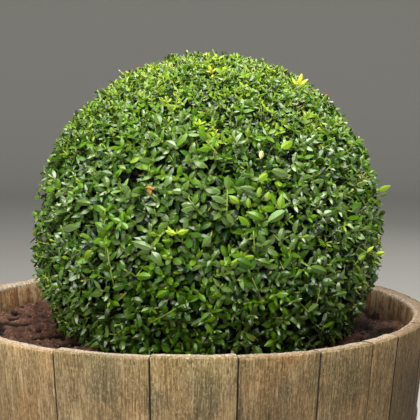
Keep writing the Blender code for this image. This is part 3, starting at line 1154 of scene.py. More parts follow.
@dataclass
class Staves:
    """The oak staves, each with worn arrises, a rough-sawn top and a weathered face."""

    shape: TubShape
    view: Viewpoint
    floor_foot: float
    floor_top: float
    floor_radius: float  # of the groove that holds the floor
    row_pitch: float = 0.012  # between the rings of points up a stave
    column_pitch: float = 0.0028  # between its columns of points
    foot_bevel: float = 0.0015
    rows_below: float = 0.020  # below the top, where the even rows end
    outer_rows: tuple[float, ...] = (0.014, 0.009, 0.0055)  # below the top, the closer ones
    inner_rows: tuple[float, ...] = (0.006, 0.012, 0.020, 0.030, 0.042, 0.060)  # below the top
    low_inner_rows: tuple[float, ...] = (0.300, 0.200, 0.100)  # above the ground
    arris: float = 0.0010  # width of the worn edge along each joint
    edge_steps: int = 2  # across each arris
    arris_depth: float = 0.0004
    rim_round: float = 0.0018
    round_steps: int = 3
    top_rows: int = 5
    inner_slope: float = 0.0055  # width and height of the worn inner edge
    inner_drop: float = 0.0034
    flute: float = 0.00022  # height of the weathered ridges
    flute_size: tuple[float, float, float] = (0.0045, 0.0045, 0.070)
    warp: float = 0.0005
    warp_size: tuple[float, float, float] = (0.045, 0.045, 0.160)
    saw: float = 0.0006  # roughness of the sawn top
    stand_off: float = 0.0004  # of a stave in or out of the round, at most
    top_joint_depth: float = 0.0002
    chips_a_stave: int = 3
    front_looks: dict[str, tuple[float, float, float, float]] = field(
        default_factory=lambda: {  # how amber, grey, olive and dark; how dark is partly tone and partly painted shade
            "stave_21": (0.25, 0.10, 0.30, 0.00),
            "stave_01": (0.15, 0.40, 0.30, 0.09),
            "stave_02": (0.00, 0.45, 0.65, 0.08),
            "stave_03": (0.30, 0.45, 0.25, 0.40),
            "stave_04": (0.05, 0.40, 0.40, 0.30),
            "stave_05": (0.10, 0.30, 0.45, 0.26),
            "stave_06": (0.10, 0.35, 0.45, 0.74),
        }
    )
    stains: tuple[Stain, ...] = (
        Stain((34.0, 393.0), 0.026, (0.45, 0.0, 0.0)),
        Stain((100.0, 366.0), 0.026, (0.0, 0.5, 0.0)),
        Stain((206.0, 402.0), 0.020, (0.0, 0.9, 0.0)),
        Stain((290.0, 368.0), 0.016, (0.5, 0.0, 0.0)),
        Stain((290.0, 390.0), 0.011, (0.0, 0.6, 0.1)),
        Stain((354.0, 384.0), 0.018, (0.0, 0.8, 0.2)),
        Stain((412.0, 396.0), 0.028, (0.0, 0.8, 0.3)),
        Stain((102.0, 408.0), 0.026, (0.0, 0.6, 0.0)),
        Stain((160.0, 408.0), 0.022, (0.0, 0.7, 0.0)),
        Stain((168.0, 362.0), 0.016, (0.0, 0.0, 0.8)),
        Stain((220.0, 362.0), 0.018, (0.0, 0.0, 0.6)),
    )
    seed: int = 23
    stain_middles: list[tuple[Stain, Vector]] = field(init=False)

    def section(self, top: float) -> list[tuple[float, float]]:
        """Draws a stave's section, from its inner foot round its outer side.

        Args:
            top: Height of this stave's top.

        Returns:
            The radius and height of its corners.
        """
        shape, curve = self.shape, self.rim_round
        outer, inner = shape.outer_radius(top), shape.inner_radius(top)
        rows = round((top - self.rows_below) / self.row_pitch)
        even = top - (self.rows_below + self.foot_bevel)
        quarter = [0.5 * math.pi * step / self.round_steps for step in range(self.round_steps + 1)]
        points = [(shape.inner_radius(0.0), 0.0), (shape.outer_radius(0.0) - self.foot_bevel, 0.0)]
        heights = [self.foot_bevel + even * row / rows for row in range(rows + 1)]
        heights += [top - below for below in self.outer_rows]
        points += [(shape.outer_radius(height), height) for height in heights]
        for angle in quarter:
            points.append((outer - curve * (1.0 - math.cos(angle)), top - curve * (1.0 - math.sin(angle))))
        across = outer - inner - curve - self.inner_slope
        for row in range(1, self.top_rows):
            points.append((outer - curve - across * row / self.top_rows, top))
        for angle in quarter:
            inwards, down = 1.0 - math.sin(angle), 1.0 - math.cos(angle)
            points.append((inner + self.inner_slope * inwards, top - self.inner_drop * down))
        heights = [top - below for below in self.inner_rows]
        points += [(shape.inner_radius(height), height) for height in (*heights, *self.low_inner_rows)]
        high, low = self.floor_top, self.floor_foot
        points += [(shape.inner_radius(high), high), (self.floor_radius, high)]
        points += [(self.floor_radius, low), (shape.inner_radius(low), low)]
        return points

    def spin_section(self, place: StavePlace) -> bmesh.types.BMesh:
        """Spins a stave's section through its share of the circle, with finer steps at both edges.

        Args:
            place: The stave's place.

        Returns:
            The stave, a closed body.
        """
        form = bmesh.new()
        corners = [form.verts.new((radius, 0.0, height)) for radius, height in self.section(place.top)]
        first = form.faces.new(corners)
        turn = Matrix.Rotation(place.start - math.pi / 2.0, 4, "Z")
        bmesh.ops.transform(form, matrix=turn, verts=form.verts)
        edge = self.arris / self.shape.rim_radius
        middle = place.width - 2.0 * edge
        steps = round(middle * self.shape.rim_radius / self.column_pitch)
        end = [first, *first.edges, *first.verts]
        for angle, count in ((edge, self.edge_steps), (middle, steps), (edge, self.edge_steps)):
            spun = bmesh.ops.spin(
                form, geom=end, cent=ORIGIN, axis=UP, angle=angle, steps=count, use_merge=False
            )
            end = spun["geom_last"]
        bmesh.ops.recalc_face_normals(form, faces=form.faces)
        return form

    def chips(self, place: StavePlace, draw: random.Random) -> list[tuple[float, float, float]]:
        """Draws the chips along a stave's top edge.

        Args:
            place: The stave's place.
            draw: The source of random numbers.

        Returns:
            The arc place, width and depth of each chip.
        """
        arc = place.width * self.shape.rim_radius
        found = []
        for _ in range(self.chips_a_stave):
            share = draw.choice((0.0, draw.random(), draw.random()))
            found.append((share * arc, draw.uniform(0.002, 0.006), draw.uniform(0.0003, 0.0009)))
        return found

    def weather(self, form: bmesh.types.BMesh, place: StavePlace, number: int) -> None:
        """Wears a stave's edges and top, and writes the attributes that its finish reads.

        Args:
            form: The stave.
            place: Its place.
            number: Its number, which shifts its grain.
        """
        draw = random.Random(self.seed + number)
        chips = self.chips(place, draw)
        stand = draw.uniform(-self.stand_off, self.stand_off)
        shift = Vector((1.7 * number, 0.0, 0.31 * number))
        dark_tone_and_shade = self.dark_tone_and_shade(place, draw)  # the staves in front have looks of their own instead
        grain = form.verts.layers.float_vector.new("grain")
        wear_and_shade = form.verts.layers.float_vector.new("wear_and_shade")
        tone = form.verts.layers.float_vector.new("tone")
        if place.name in self.front_looks:
            *own_tone, dark_tone_and_shade = self.front_looks[place.name]
        else:
            own_tone = [draw.uniform(0.0, 0.4) for _ in range(3)]
        for vert in form.verts:
            spot = self.measure(vert.co, place)
            at = Vector((spot.arc, spot.inward, spot.height)) + shift
            vert[grain] = at
            vert[wear_and_shade] = Vector((spot.to_joint, spot.below, dark_tone_and_shade))
            vert[tone] = self.stained(vert.co, own_tone)
            away = Vector((vert.co.x, vert.co.y, 0.0)) / math.hypot(vert.co.x, vert.co.y)
            vert.co += away * (self.push(spot, at) + stand) + UP * self.lift(spot, at, chips)

    def measure(self, point: Vector, place: StavePlace) -> FacePoint:
        """Measures where a point lies on its stave.

        Args:
            point: The point.
            place: The stave's place.

        Returns:
            Where it lies.
        """
        turn = (math.atan2(point.x, -point.y) - place.start + math.pi) % math.tau - math.pi
        arc = turn * self.shape.rim_radius
        to_joint = max(0.0, min(arc, place.width * self.shape.rim_radius - arc))
        inward = self.shape.outer_radius(point.z) - math.hypot(point.x, point.y)
        return FacePoint(arc, to_joint, inward, point.z, place.top - point.z)

    def push(self, spot: FacePoint, at: Vector) -> float:
        """Gives how far a point moves away from the tub's axis.

        Args:
            spot: Where it lies.
            at: Where its grain is read.

        Returns:
            The distance: ridges and warp on the open faces, and the worn arris along the joints.
        """
        outside = 1.0 if spot.inward < self.shape.thickness / 2.0 else -1.0
        open_face = smooth_share(spot.below, 0.0, 0.008) * smooth_share(spot.height, 0.0, 0.010)
        wavy = self.flute * lumps(at, self.flute_size) + self.warp * lumps(at, self.warp_size)
        worn = self.arris_depth * (1.0 - smooth_share(spot.to_joint, 0.0, self.arris))
        return outside * (wavy * open_face - worn)

    def lift(self, spot: FacePoint, at: Vector, chips: Sequence[tuple[float, float, float]]) -> float:
        """Gives how far a point of the top rises.

        Args:
            spot: Where it lies.
            at: Where its grain is read.
            chips: The arc place, width and depth of each chip.

        Returns:
            The distance, 0 away from the top.
        """
        on_top = 1.0 - smooth_share(spot.below, 0.0, 0.006)
        if on_top <= 0.0:
            return 0.0
        rise = self.saw * noise.noise(Vector((at.x / 0.006, at.y / 0.004, 3.3)))
        rise += 2.0 * self.saw * noise.noise(Vector((at.x / 0.035, at.y / 0.03, 8.1)))
        rise -= self.top_joint_depth * (1.0 - smooth_share(spot.to_joint, 0.0, 0.0020))
        for where, width, depth in chips:
            away = math.hypot(spot.arc - where, 0.6 * spot.inward)
            rise -= depth * (1.0 - smooth_share(away, 0.0, width))
        return on_top * rise

    def stained(self, point: Vector, own_tone: Sequence[float]) -> Vector:
        """Adds the stains near a point to a stave's own tone.

        Args:
            point: The point.
            own_tone: The stave's own tone.

        Returns:
            How amber, grey and olive it is at the point.
        """
        tone = Vector(own_tone)
        for stain, middle in self.stain_middles:
            away = ((point - middle) * Vector((1.0, 1.0, 0.6))).length
            tone += Vector(stain.tint) * (1.0 - smooth_share(away, 0.3 * stain.radius, 1.4 * stain.radius))
        return tone

    @staticmethod
    def dark_tone_and_shade(place: StavePlace, draw: random.Random) -> float:
        """Draws how dark a stave is: partly a random tone, partly painted shade that darkens the right
        side.

        Args:
            place: The stave's place.
            draw: The source of random numbers.

        Returns:
            How dark it is, 0 to 1.
        """
        middle = place.start + place.width / 2.0
        # painted shade: staves towards +X, on the right, are made darker
        side = math.sin(middle)
        return min(0.9, max(0.0, 0.22 + 0.46 * side + draw.uniform(-0.06, 0.06)))

    def build(self) -> None:
        """Makes all staves."""
        finish = OakFinish().material()
        seen_at = self.shape.seen_at
        self.stain_middles = [(stain, seen_at(self.view, stain.pixel)) for stain in self.stains]
        for number, name in enumerate(nodes_named("stave_"), start=1):
            place = StavePlace.of(name)
            form = self.spin_section(place)
            self.weather(form, place, number)
            mesh = mesh_from(form, f"oak_{name}")
            show(f"oak_{name}", mesh, [finish], [name])


@dataclass
class Hoops:
    """The steel hoops, each a band with rounded edges whose ends lap under two rivets."""

    shape: TubShape
    thickness: float = 0.002
    clearance: float = 0.0006  # between the staves and the band
    lap_arc: float = 0.045
    lap_angle_deg: float = 152.0
    rivet_radius: float = 0.0045
    rivet_dome: float = 0.45  # its height beside its radius
    rivet_shares: tuple[float, ...] = (0.3, 0.7)  # of the way along the lap
    edge_round: float = 0.7  # how far the edges draw back, beside half the thickness
    steps: int = 144
    lap_steps: int = 8
    crease_deg: float = 40.0

    def band(
        self, form: bmesh.types.BMesh, foot: float, top: float, lift: float, arc: float | None = None
    ) -> None:
        """Spins a band's rounded section round the staves.

        Args:
            form: The bmesh that it goes in.
            foot: Height of its lower edge.
            top: Height of its upper edge.
            lift: How far it stands off the staves.
            arc: Its length, or None for a whole turn.
        """
        turn = self.thickness / 2.0
        heights = ((foot, turn), (foot + turn, 0.0), (top - turn, 0.0), (top, turn))
        outside = [
            (self.shape.outer_radius(height) + lift + self.thickness - back * self.edge_round, height)
            for height, back in heights
        ]
        inside = [(self.shape.outer_radius(height) + lift, height) for height in (top, foot)]
        corners = [form.verts.new((radius, 0.0, height)) for radius, height in outside + inside]
        edges = [form.edges.new(pair) for pair in zip(corners, corners[1:] + corners[:1])]
        geom = [*corners, *edges]
        if arc is not None:
            geom.append(form.faces.new(corners))
        start = Matrix.Rotation(math.radians(self.lap_angle_deg) - math.pi / 2.0, 4, "Z")
        bmesh.ops.transform(form, matrix=start, verts=corners)
        bmesh.ops.spin(
            form,
            geom=geom,
            cent=ORIGIN,
            axis=UP,
            angle=math.tau if arc is None else arc / self.shape.rim_radius,
            steps=self.steps if arc is None else self.lap_steps,
            use_merge=arc is None,
        )

    def rivet(self, form: bmesh.types.BMesh, height: float, arc: float, lift: float) -> None:
        """Adds a domed rivet head.

        Args:
            form: The bmesh that it goes in.
            height: Height of its middle.
            arc: How far past the lap's start it sits.
            lift: How far its seat stands off the staves.
        """
        angle = math.radians(self.lap_angle_deg) + arc / self.shape.rim_radius
        away = Vector((math.sin(angle), -math.cos(angle), 0.0))
        middle = away * (self.shape.outer_radius(height) + lift) + UP * height
        turn = away.to_track_quat("Z", "Y").to_matrix().to_4x4()
        radius = self.rivet_radius
        size = Matrix.Diagonal((radius, radius, self.rivet_dome * radius, 1.0))
        place = Matrix.Translation(middle) @ turn @ size
        bmesh.ops.create_uvsphere(form, u_segments=16, v_segments=10, radius=1.0, matrix=place)

    def build(self) -> None:
        """Makes both hoops."""
        finish = HoopFinish().material()
        for name in nodes_named("hoop_"):
            low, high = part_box(name)
            form = bmesh.new()
            gap, lap_lift = self.clearance, self.clearance + self.thickness
            self.band(form, low.z, high.z, gap)
            self.band(form, low.z + gap, high.z - gap, lap_lift, self.lap_arc)
            middle = (low.z + high.z) / 2.0
            for share in self.rivet_shares:
                self.rivet(form, middle, share * self.lap_arc, lap_lift + self.thickness)
            bmesh.ops.remove_doubles(form, verts=form.verts, dist=WELD)
            bmesh.ops.recalc_face_normals(form, faces=form.faces)
            mesh = mesh_from(form, f"band_{name}")
            mesh.set_sharp_from_angle(angle=math.radians(self.crease_deg))
            show(f"band_{name}", mesh, [finish], [name])


@dataclass
class SoilBed:
    """The compost: a lumpy surface with crumbs of every size on it."""

    shape: TubShape
    ground: float
    open_from: float = 0.150  # the surface is finely made outside this radius
    ring_pitch: float = 0.0026
    steps: int = 560
    wall_overlap: float = 0.0008  # of the surface's edge into the staves
    wall_gap: float = 0.0005  # of the hidden body below it
    wall_margin: float = 0.003  # between the crumbs and the staves
    swell: float = 0.0070  # how high this form of the surface is; each form has its spacing as its size
    swell_size: float = 0.060
    lump: float = 0.0045
    lump_size: float = 0.015
    clod: float = 0.0024
    clod_size: float = 0.0075
    hollow: float = 0.0140
    hollow_size: float = 0.030
    stray: float = 0.005  # how far lumps and clods stray from their even spacing
    stray_size: float = 0.012
    stray_offsets: tuple[Vector, ...] = (
        Vector((3.7, 8.4, 5.2)),
        Vector((6.1, 1.3, 9.6)),
        Vector((2.8, 7.5, 4.4)),
    )
    crumbs: int = 2200
    crumb_radius: float = 0.0009  # of the smallest
    crumb_spread: float = 0.0030  # how much larger the few largest are
    seed: int = 31

    def relief(self, x: float, y: float) -> float:
        """Gives how far the surface lies above its even level.

        Args:
            x: The place's x.
            y: The place's y.

        Returns:
            The height, below 0 in the hollows.
        """
        at = Vector((x, y, 0.0))
        stray = Vector([noise.noise(at / self.stray_size + offset) for offset in self.stray_offsets])
        strayed = at + self.stray * stray
        swell = noise.noise(at / self.swell_size + Vector((0.3, 0.1, 0.0)))
        lump = noise.fractal(strayed / self.lump_size + Vector((5.1, 2.7, 0.0)), 0.55, 2.1, 5)
        from_clod = min(1.0, noise.voronoi(strayed / self.clod_size)[0][0] * 1.5)
        gap = noise.noise(at / self.hollow_size + Vector((9.4, 1.2, 0.0)))
        raised = self.swell * swell + self.lump * lump + self.clod * (1.0 - from_clod**2)
        return raised - self.hollow * smooth_share(gap, 0.05, 0.45)

    def build_body(self) -> None:
        """Makes the compost's body, its top finely lumpy."""
        wall = self.shape.inner_radius(self.ground) + self.wall_overlap
        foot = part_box("soil")[0].z
        rings = round((wall - self.open_from) / self.ring_pitch)
        radii = [0.0, self.open_from * 0.4, self.open_from * 0.75]
        radii += [self.open_from + (wall - self.open_from) * ring / rings for ring in range(rings + 1)]
        profile = [(radius, self.ground) for radius in radii]
        for height in (self.ground - 0.03, self.ground * 0.5, foot):
            profile.append((self.shape.inner_radius(height) - self.wall_gap, height))
        profile.append((0.0, foot))
        form = bmesh.new()
        turn_profile(form, profile, self.steps)
        depth = form.verts.layers.float.new("depth")
        for vert in form.verts:
            if abs(vert.co.z - self.ground) < WELD:
                rise = self.relief(vert.co.x, vert.co.y)
                vert.co.z += rise
                # how far painted shade darkens this place
                vert[depth] = self.depth(rise, vert.co.x)
        mesh = mesh_from(form, "compost")
        show("compost", mesh, [SoilFinish().material()], ["soil"])

    @staticmethod
    def depth(rise: float, x: float) -> float:
        """Gives how dark a place is: painted shade between the clods, and painted shadow over the right
        side.
        """
        return min(1.0, smooth_share(-rise, -0.003, 0.009) + 0.30 * smooth_share(x, 0.12, 0.24))

    @staticmethod
    def crumb_pattern(seed: int) -> Pattern:
        """Makes one crumb, a ball pushed out of shape.

        Args:
            seed: Shifts the noise that shapes it.

        Returns:
            The crumb, about a unit in radius.
        """
        form = bmesh.new()
        bmesh.ops.create_icosphere(form, subdivisions=2, radius=1.0)
        for vert in form.verts:
            vert.co *= 1.0 + 0.45 * noise.noise(vert.co * 1.3 + Vector((seed, 2.0 * seed, 0.0)))
        bmesh.ops.scale(form, vec=(1.0, 0.8, 0.65), verts=form.verts)
        return Pattern.read(mesh_from(form, "crumb"))

    def build_crumbs(self) -> None:
        """Scatters crumbs over the open ring; in the hollows and on the right side more of them are dark,
        as painted shade.
        """
        draw = random.Random(self.seed)
        groups = [Copies(self.crumb_pattern(seed)) for seed in range(1, 4)]
        wall = self.shape.inner_radius(self.ground) - self.wall_margin
        inner = self.open_from
        while sum(len(group.places) for group in groups) < self.crumbs:
            away = math.sqrt(draw.uniform(inner * inner, wall * wall))
            angle = draw.uniform(0.0, math.tau)
            x, y = away * math.cos(angle), away * math.sin(angle)
            size = self.crumb_radius + self.crumb_spread * draw.random() ** 4
            sunk = draw.uniform(-0.5, 0.2) * size
            rise = self.relief(x, y)
            deep = self.depth(rise, x)
            place = Matrix.Translation((x, y, self.ground + rise + sunk))
            turn = Matrix.Rotation(draw.uniform(0.0, math.tau), 4, draw_direction(draw))
            # painted shade: crumbs in the hollows and on the right side are more often dark
            shares = (0.30 + 0.6 * deep, 0.50 - 0.45 * deep, 0.20 - 0.18 * deep)
            slot = draw.choices((0, 1, 2), shares)[0]
            draw.choice(groups).add(place @ turn @ Matrix.Scale(size, 4), (slot,))
        finishes = [
            PlainFinish("crumb_dark", display(36, 24, 17), 0.95).material(),
            PlainFinish("crumb_brown", display(80, 55, 42), 0.95).material(),
            PlainFinish("crumb_light", display(116, 88, 70), 0.95).material(),
        ]
        show("compost_crumbs", join_copies("compost_crumbs", groups), finishes)

    def build(self) -> None:
        """Makes the compost and its crumbs."""
        self.build_body()
        self.build_crumbs()


# ---------------------------------------------------------------- the plant


@dataclass(frozen=True)
class BallSpace:
    """The space that the clipped foliage keeps to: a ball that stands on the soil."""

    stem_gap: ClassVar[float] = 0.0003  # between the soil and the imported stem's foot
    centre_above_soil: ClassVar[float] = 0.148
    soil_clearance: ClassVar[float] = 0.001  # of the leaves' tips
    centre: Vector
    ground: float
    radius: float = 0.2446
    fuller_side: Vector = Vector((-0.80, -0.25, -0.55)).normalized()
    fuller_by: float = 0.009

    @classmethod
    def over(cls, low: Vector, high: Vector) -> "BallSpace":
        """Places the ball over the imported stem.

        Args:
            low: The least corner of the stem's box.
            high: The greatest.

        Returns:
            The space.
        """
        ground = low.z - cls.stem_gap
        middle = (low + high) / 2.0
        return cls(Vector((middle.x, middle.y, ground + cls.centre_above_soil)), ground)

    def outline(self, direction: Vector) -> float:
        """Gives the clipped outline's radius in a direction; one low side is a little fuller."""
        nearness = direction.dot(self.fuller_side)
        return self.radius + self.fuller_by * smooth_share(nearness, 0.70, 0.97)

    def lowest(self) -> float:
        """Gives how steeply down a direction may point and still meet the ball above the soil."""
        return -(self.centre.z - self.ground) / self.radius

    def reach(self, direction: Vector) -> float:
        """Gives how far the outline or the soil lies from the centre.

        Args:
            direction: The direction.

        Returns:
            The distance.
        """
        if direction.z >= 0.0:
            return self.outline(direction)
        return min(self.outline(direction), (self.centre.z - self.ground) / -direction.z)

    def room(self, node: Vector, along: Vector, spare: float) -> float:
        """Gives how long a leaf can grow from a node before it leaves the ball or meets the soil.

        Args:
            node: Where the leaf leaves its twig.
            along: Its direction.
            spare: How much further out than the clipped outline it may reach.

        Returns:
            The longest length, 0 or less where the leaf has no room.
        """
        out = node - self.centre
        slope = out.dot(along)
        inside = slope * slope + (self.outline(out.normalized()) + spare) ** 2 - out.length_squared
        if inside < 0.0:
            return 0.0
        room = -slope + math.sqrt(inside)
        if along.z < 0.0:
            room = min(room, (node.z - self.ground - self.soil_clearance) / -along.z)
        return room

    def seen_at(self, view: Viewpoint, pixel: tuple[float, float]) -> Vector:
        """Gives the direction from the centre to the point of the outline that a pixel shows.

        Args:
            view: The viewpoint.
            pixel: The pixel.

        Returns:
            The direction; for a pixel beside the ball, that of the nearest point.
        """
        ray = view.ray(pixel)
        out = self.centre - view.place()
        along = out.dot(ray)
        miss = out - ray * along
        inside = max(0.0, self.radius**2 - miss.length_squared)
        point = ray * (along - math.sqrt(inside)) - out
        return point.normalized()


@dataclass(frozen=True)
class LimbRule:
    """How one order of limbs grows."""

    count: int  # on a whole sphere
    reach: float  # share of the way to the outline where they end
    radius: float  # at their foot
    tip_radius: float
    points: int


@dataclass(frozen=True)
class Limb:
    """A limb's path, its radii at both ends and the direction that it grows in."""

    path: tuple[Vector, ...]
    radius: float
    tip_radius: float
    direction: Vector
    woody: bool = True

    def at(self, share: float) -> Vector:
        """Gives a point of the path.

        Args:
            share: How far along it lies, 0 to 1, counted by the path's points.

        Returns:
            The point.
        """
        place = share * (len(self.path) - 1)
        number = min(int(place), len(self.path) - 2)
        return self.path[number].lerp(self.path[number + 1], place - number)

    def back_from_tip(self, back: float) -> tuple[Vector, Vector]:
        """Goes back along the path from its tip.

        Args:
            back: How far.

        Returns:
            The point there, and the direction towards the tip.
        """
        left = back
        for near, far in zip(self.path[:0:-1], self.path[-2::-1]):
            length = (near - far).length
            if left <= length:
                return near.lerp(far, left / length), (near - far).normalized()
            left -= length
        return self.path[0], (self.path[1] - self.path[0]).normalized()


def bend(start: Vector, middle: Vector, end: Vector, count: int) -> tuple[Vector, ...]:
    """Gives points along a curve that leaves start towards middle and comes into end from it.

    Args:
        start: The first point.
        middle: The point that pulls the curve.
        end: The last point.
        count: How many points.

    Returns:
        The points.
    """
    shares = [step / (count - 1) for step in range(count)]
    return tuple(start.lerp(middle, share).lerp(middle.lerp(end, share), share) for share in shares)


def parent_of(direction: Vector, parents: Sequence[Limb]) -> Limb:
    """Gives the limb that grows most nearly in a direction."""
    return max(parents, key=lambda limb: limb.direction.dot(direction))


@dataclass(frozen=True)
class SurfaceStem:
    """A stem that runs just under the outline, between the points that two pixels show."""

    start: tuple[float, float]
    end: tuple[float, float]
    depth: float
    radius: float
    first_pair: float  # how far back from its end its leaves begin
    pair_spacing: float
    tone: Tone
    woody: bool = False


@dataclass(frozen=True)
class FaceLeaf:
    """One of the larger leaves that lie open on the outline, between the points that two pixels show."""

    tip_rise: ClassVar[float] = 0.0015  # of a tip above the outline
    base: tuple[float, float]
    tip: tuple[float, float]
    tone: Tone
    share: float = 0.50  # its width beside its length
    depth: float = 0.001  # of its base under the outline
    upright: bool = False  # whether it stands across the line of sight, as at the ball's edge

    def lay(self, space: BallSpace, view: Viewpoint) -> tuple[Vector, Vector]:
        """Lays the leaf on the ball.

        Args:
            space: The ball.
            view: The viewpoint of the pixels.

        Returns:
            Its base and its tip.
        """
        ends = [space.seen_at(view, pixel) for pixel in (self.base, self.tip)]
        base, tip = (space.centre + direction * space.reach(direction) for direction in ends)
        base -= ends[0] * self.depth
        if not self.upright:
            return base, tip + ends[1] * self.tip_rise
        rays = [view.ray(pixel) for pixel in (self.base, self.tip)]
        away = (base - view.place()).dot(rays[0])
        return base, base + (rays[1] - rays[0]) * away


@dataclass(frozen=True)
class ColourSpot:
    """A place on the ball where the sprays have a colour of their own."""

    pixel: tuple[float, float]
    radius: float
    tone: Tone


@dataclass(frozen=True)
class LeafForm:
    """One leaf's shape, a unit long and a unit wide, with its upper face towards +Z."""

    arch: ClassVar[float] = 0.10  # how high its middle stands
    stations: tuple[tuple[float, float], ...]  # place along the leaf and share of its half width
    drop: float  # how far its edges stand off the midrib's level
    curl: float  # how far its tip bends down
    sway: float  # how far its tip bends sideways

    def sheet(self, form: bmesh.types.BMesh, columns: int) -> list[bmesh.types.BMFace]:
        """Adds one face of the leaf as a grid drawn to its outline.

        Args:
            form: The bmesh that it goes in.
            columns: Two for a face with a midrib, one for a flat one.

        Returns:
            Its faces.
        """
        rows = len(self.stations) - 1
        made = bmesh.ops.create_grid(form, x_segments=columns, y_segments=rows, size=0.5)["verts"]
        for vert in made:
            side = 2.0 * vert.co.x
            place, half = self.stations[round((vert.co.y + 0.5) * rows)]
            sway = self.sway * place * place
            rise = self.arch * math.sin(math.pi * place) - self.curl * place * place
            vert.co = Vector((0.5 * side * half + sway, place, rise - self.drop * abs(side) * half))
        return list({face for vert in made for face in vert.link_faces})

    def pattern(self) -> Pattern:
        """Makes the leaf as a closed thin body.

        Returns:
            The leaf, its upper face of kind 0 and its underside of kind 1.
        """
        form = bmesh.new()
        self.sheet(form, 2)
        under = self.sheet(form, 1)
        bmesh.ops.reverse_faces(form, faces=under)
        for face in under:
            face.material_index = 1
        bmesh.ops.remove_doubles(form, verts=form.verts, dist=0.002)
        for edge in form.edges:
            kinds = {face.material_index for face in edge.link_faces}
            ends = [vert.co.x - self.sway * vert.co.y**2 for vert in edge.verts]
            edge.smooth = len(kinds) == 1 and not (kinds == {0} and max(map(abs, ends)) < 0.01)
        return Pattern.read(mesh_from(form, "leaf", smooth=False))


OVAL = ((0.0, 0.0), (0.12, 0.60), (0.36, 1.0), (0.62, 0.90), (0.86, 0.48), (1.0, 0.0))
POINTED = ((0.0, 0.0), (0.13, 0.55), (0.34, 1.0), (0.60, 0.84), (0.84, 0.38), (1.0, 0.0))
BLUNT = ((0.0, 0.0), (0.12, 0.52), (0.38, 0.96), (0.66, 0.96), (0.89, 0.58), (1.0, 0.0))
SIMPLE = ((0.0, 0.0), (0.30, 0.95), (0.72, 0.85), (1.0, 0.0))

NEAR_FORMS = (
    LeafForm(OVAL, 0.14, 0.06, 0.02),
    LeafForm(OVAL, 0.17, 0.18, -0.04),
    LeafForm(POINTED, 0.13, 0.10, 0.06),
    LeafForm(BLUNT, 0.15, 0.02, -0.02),
    LeafForm(POINTED, 0.18, 0.28, 0.00),
)
DEEP_FORMS = (LeafForm(SIMPLE, 0.08, 0.10, 0.03), LeafForm(SIMPLE, 0.08, 0.02, -0.03))

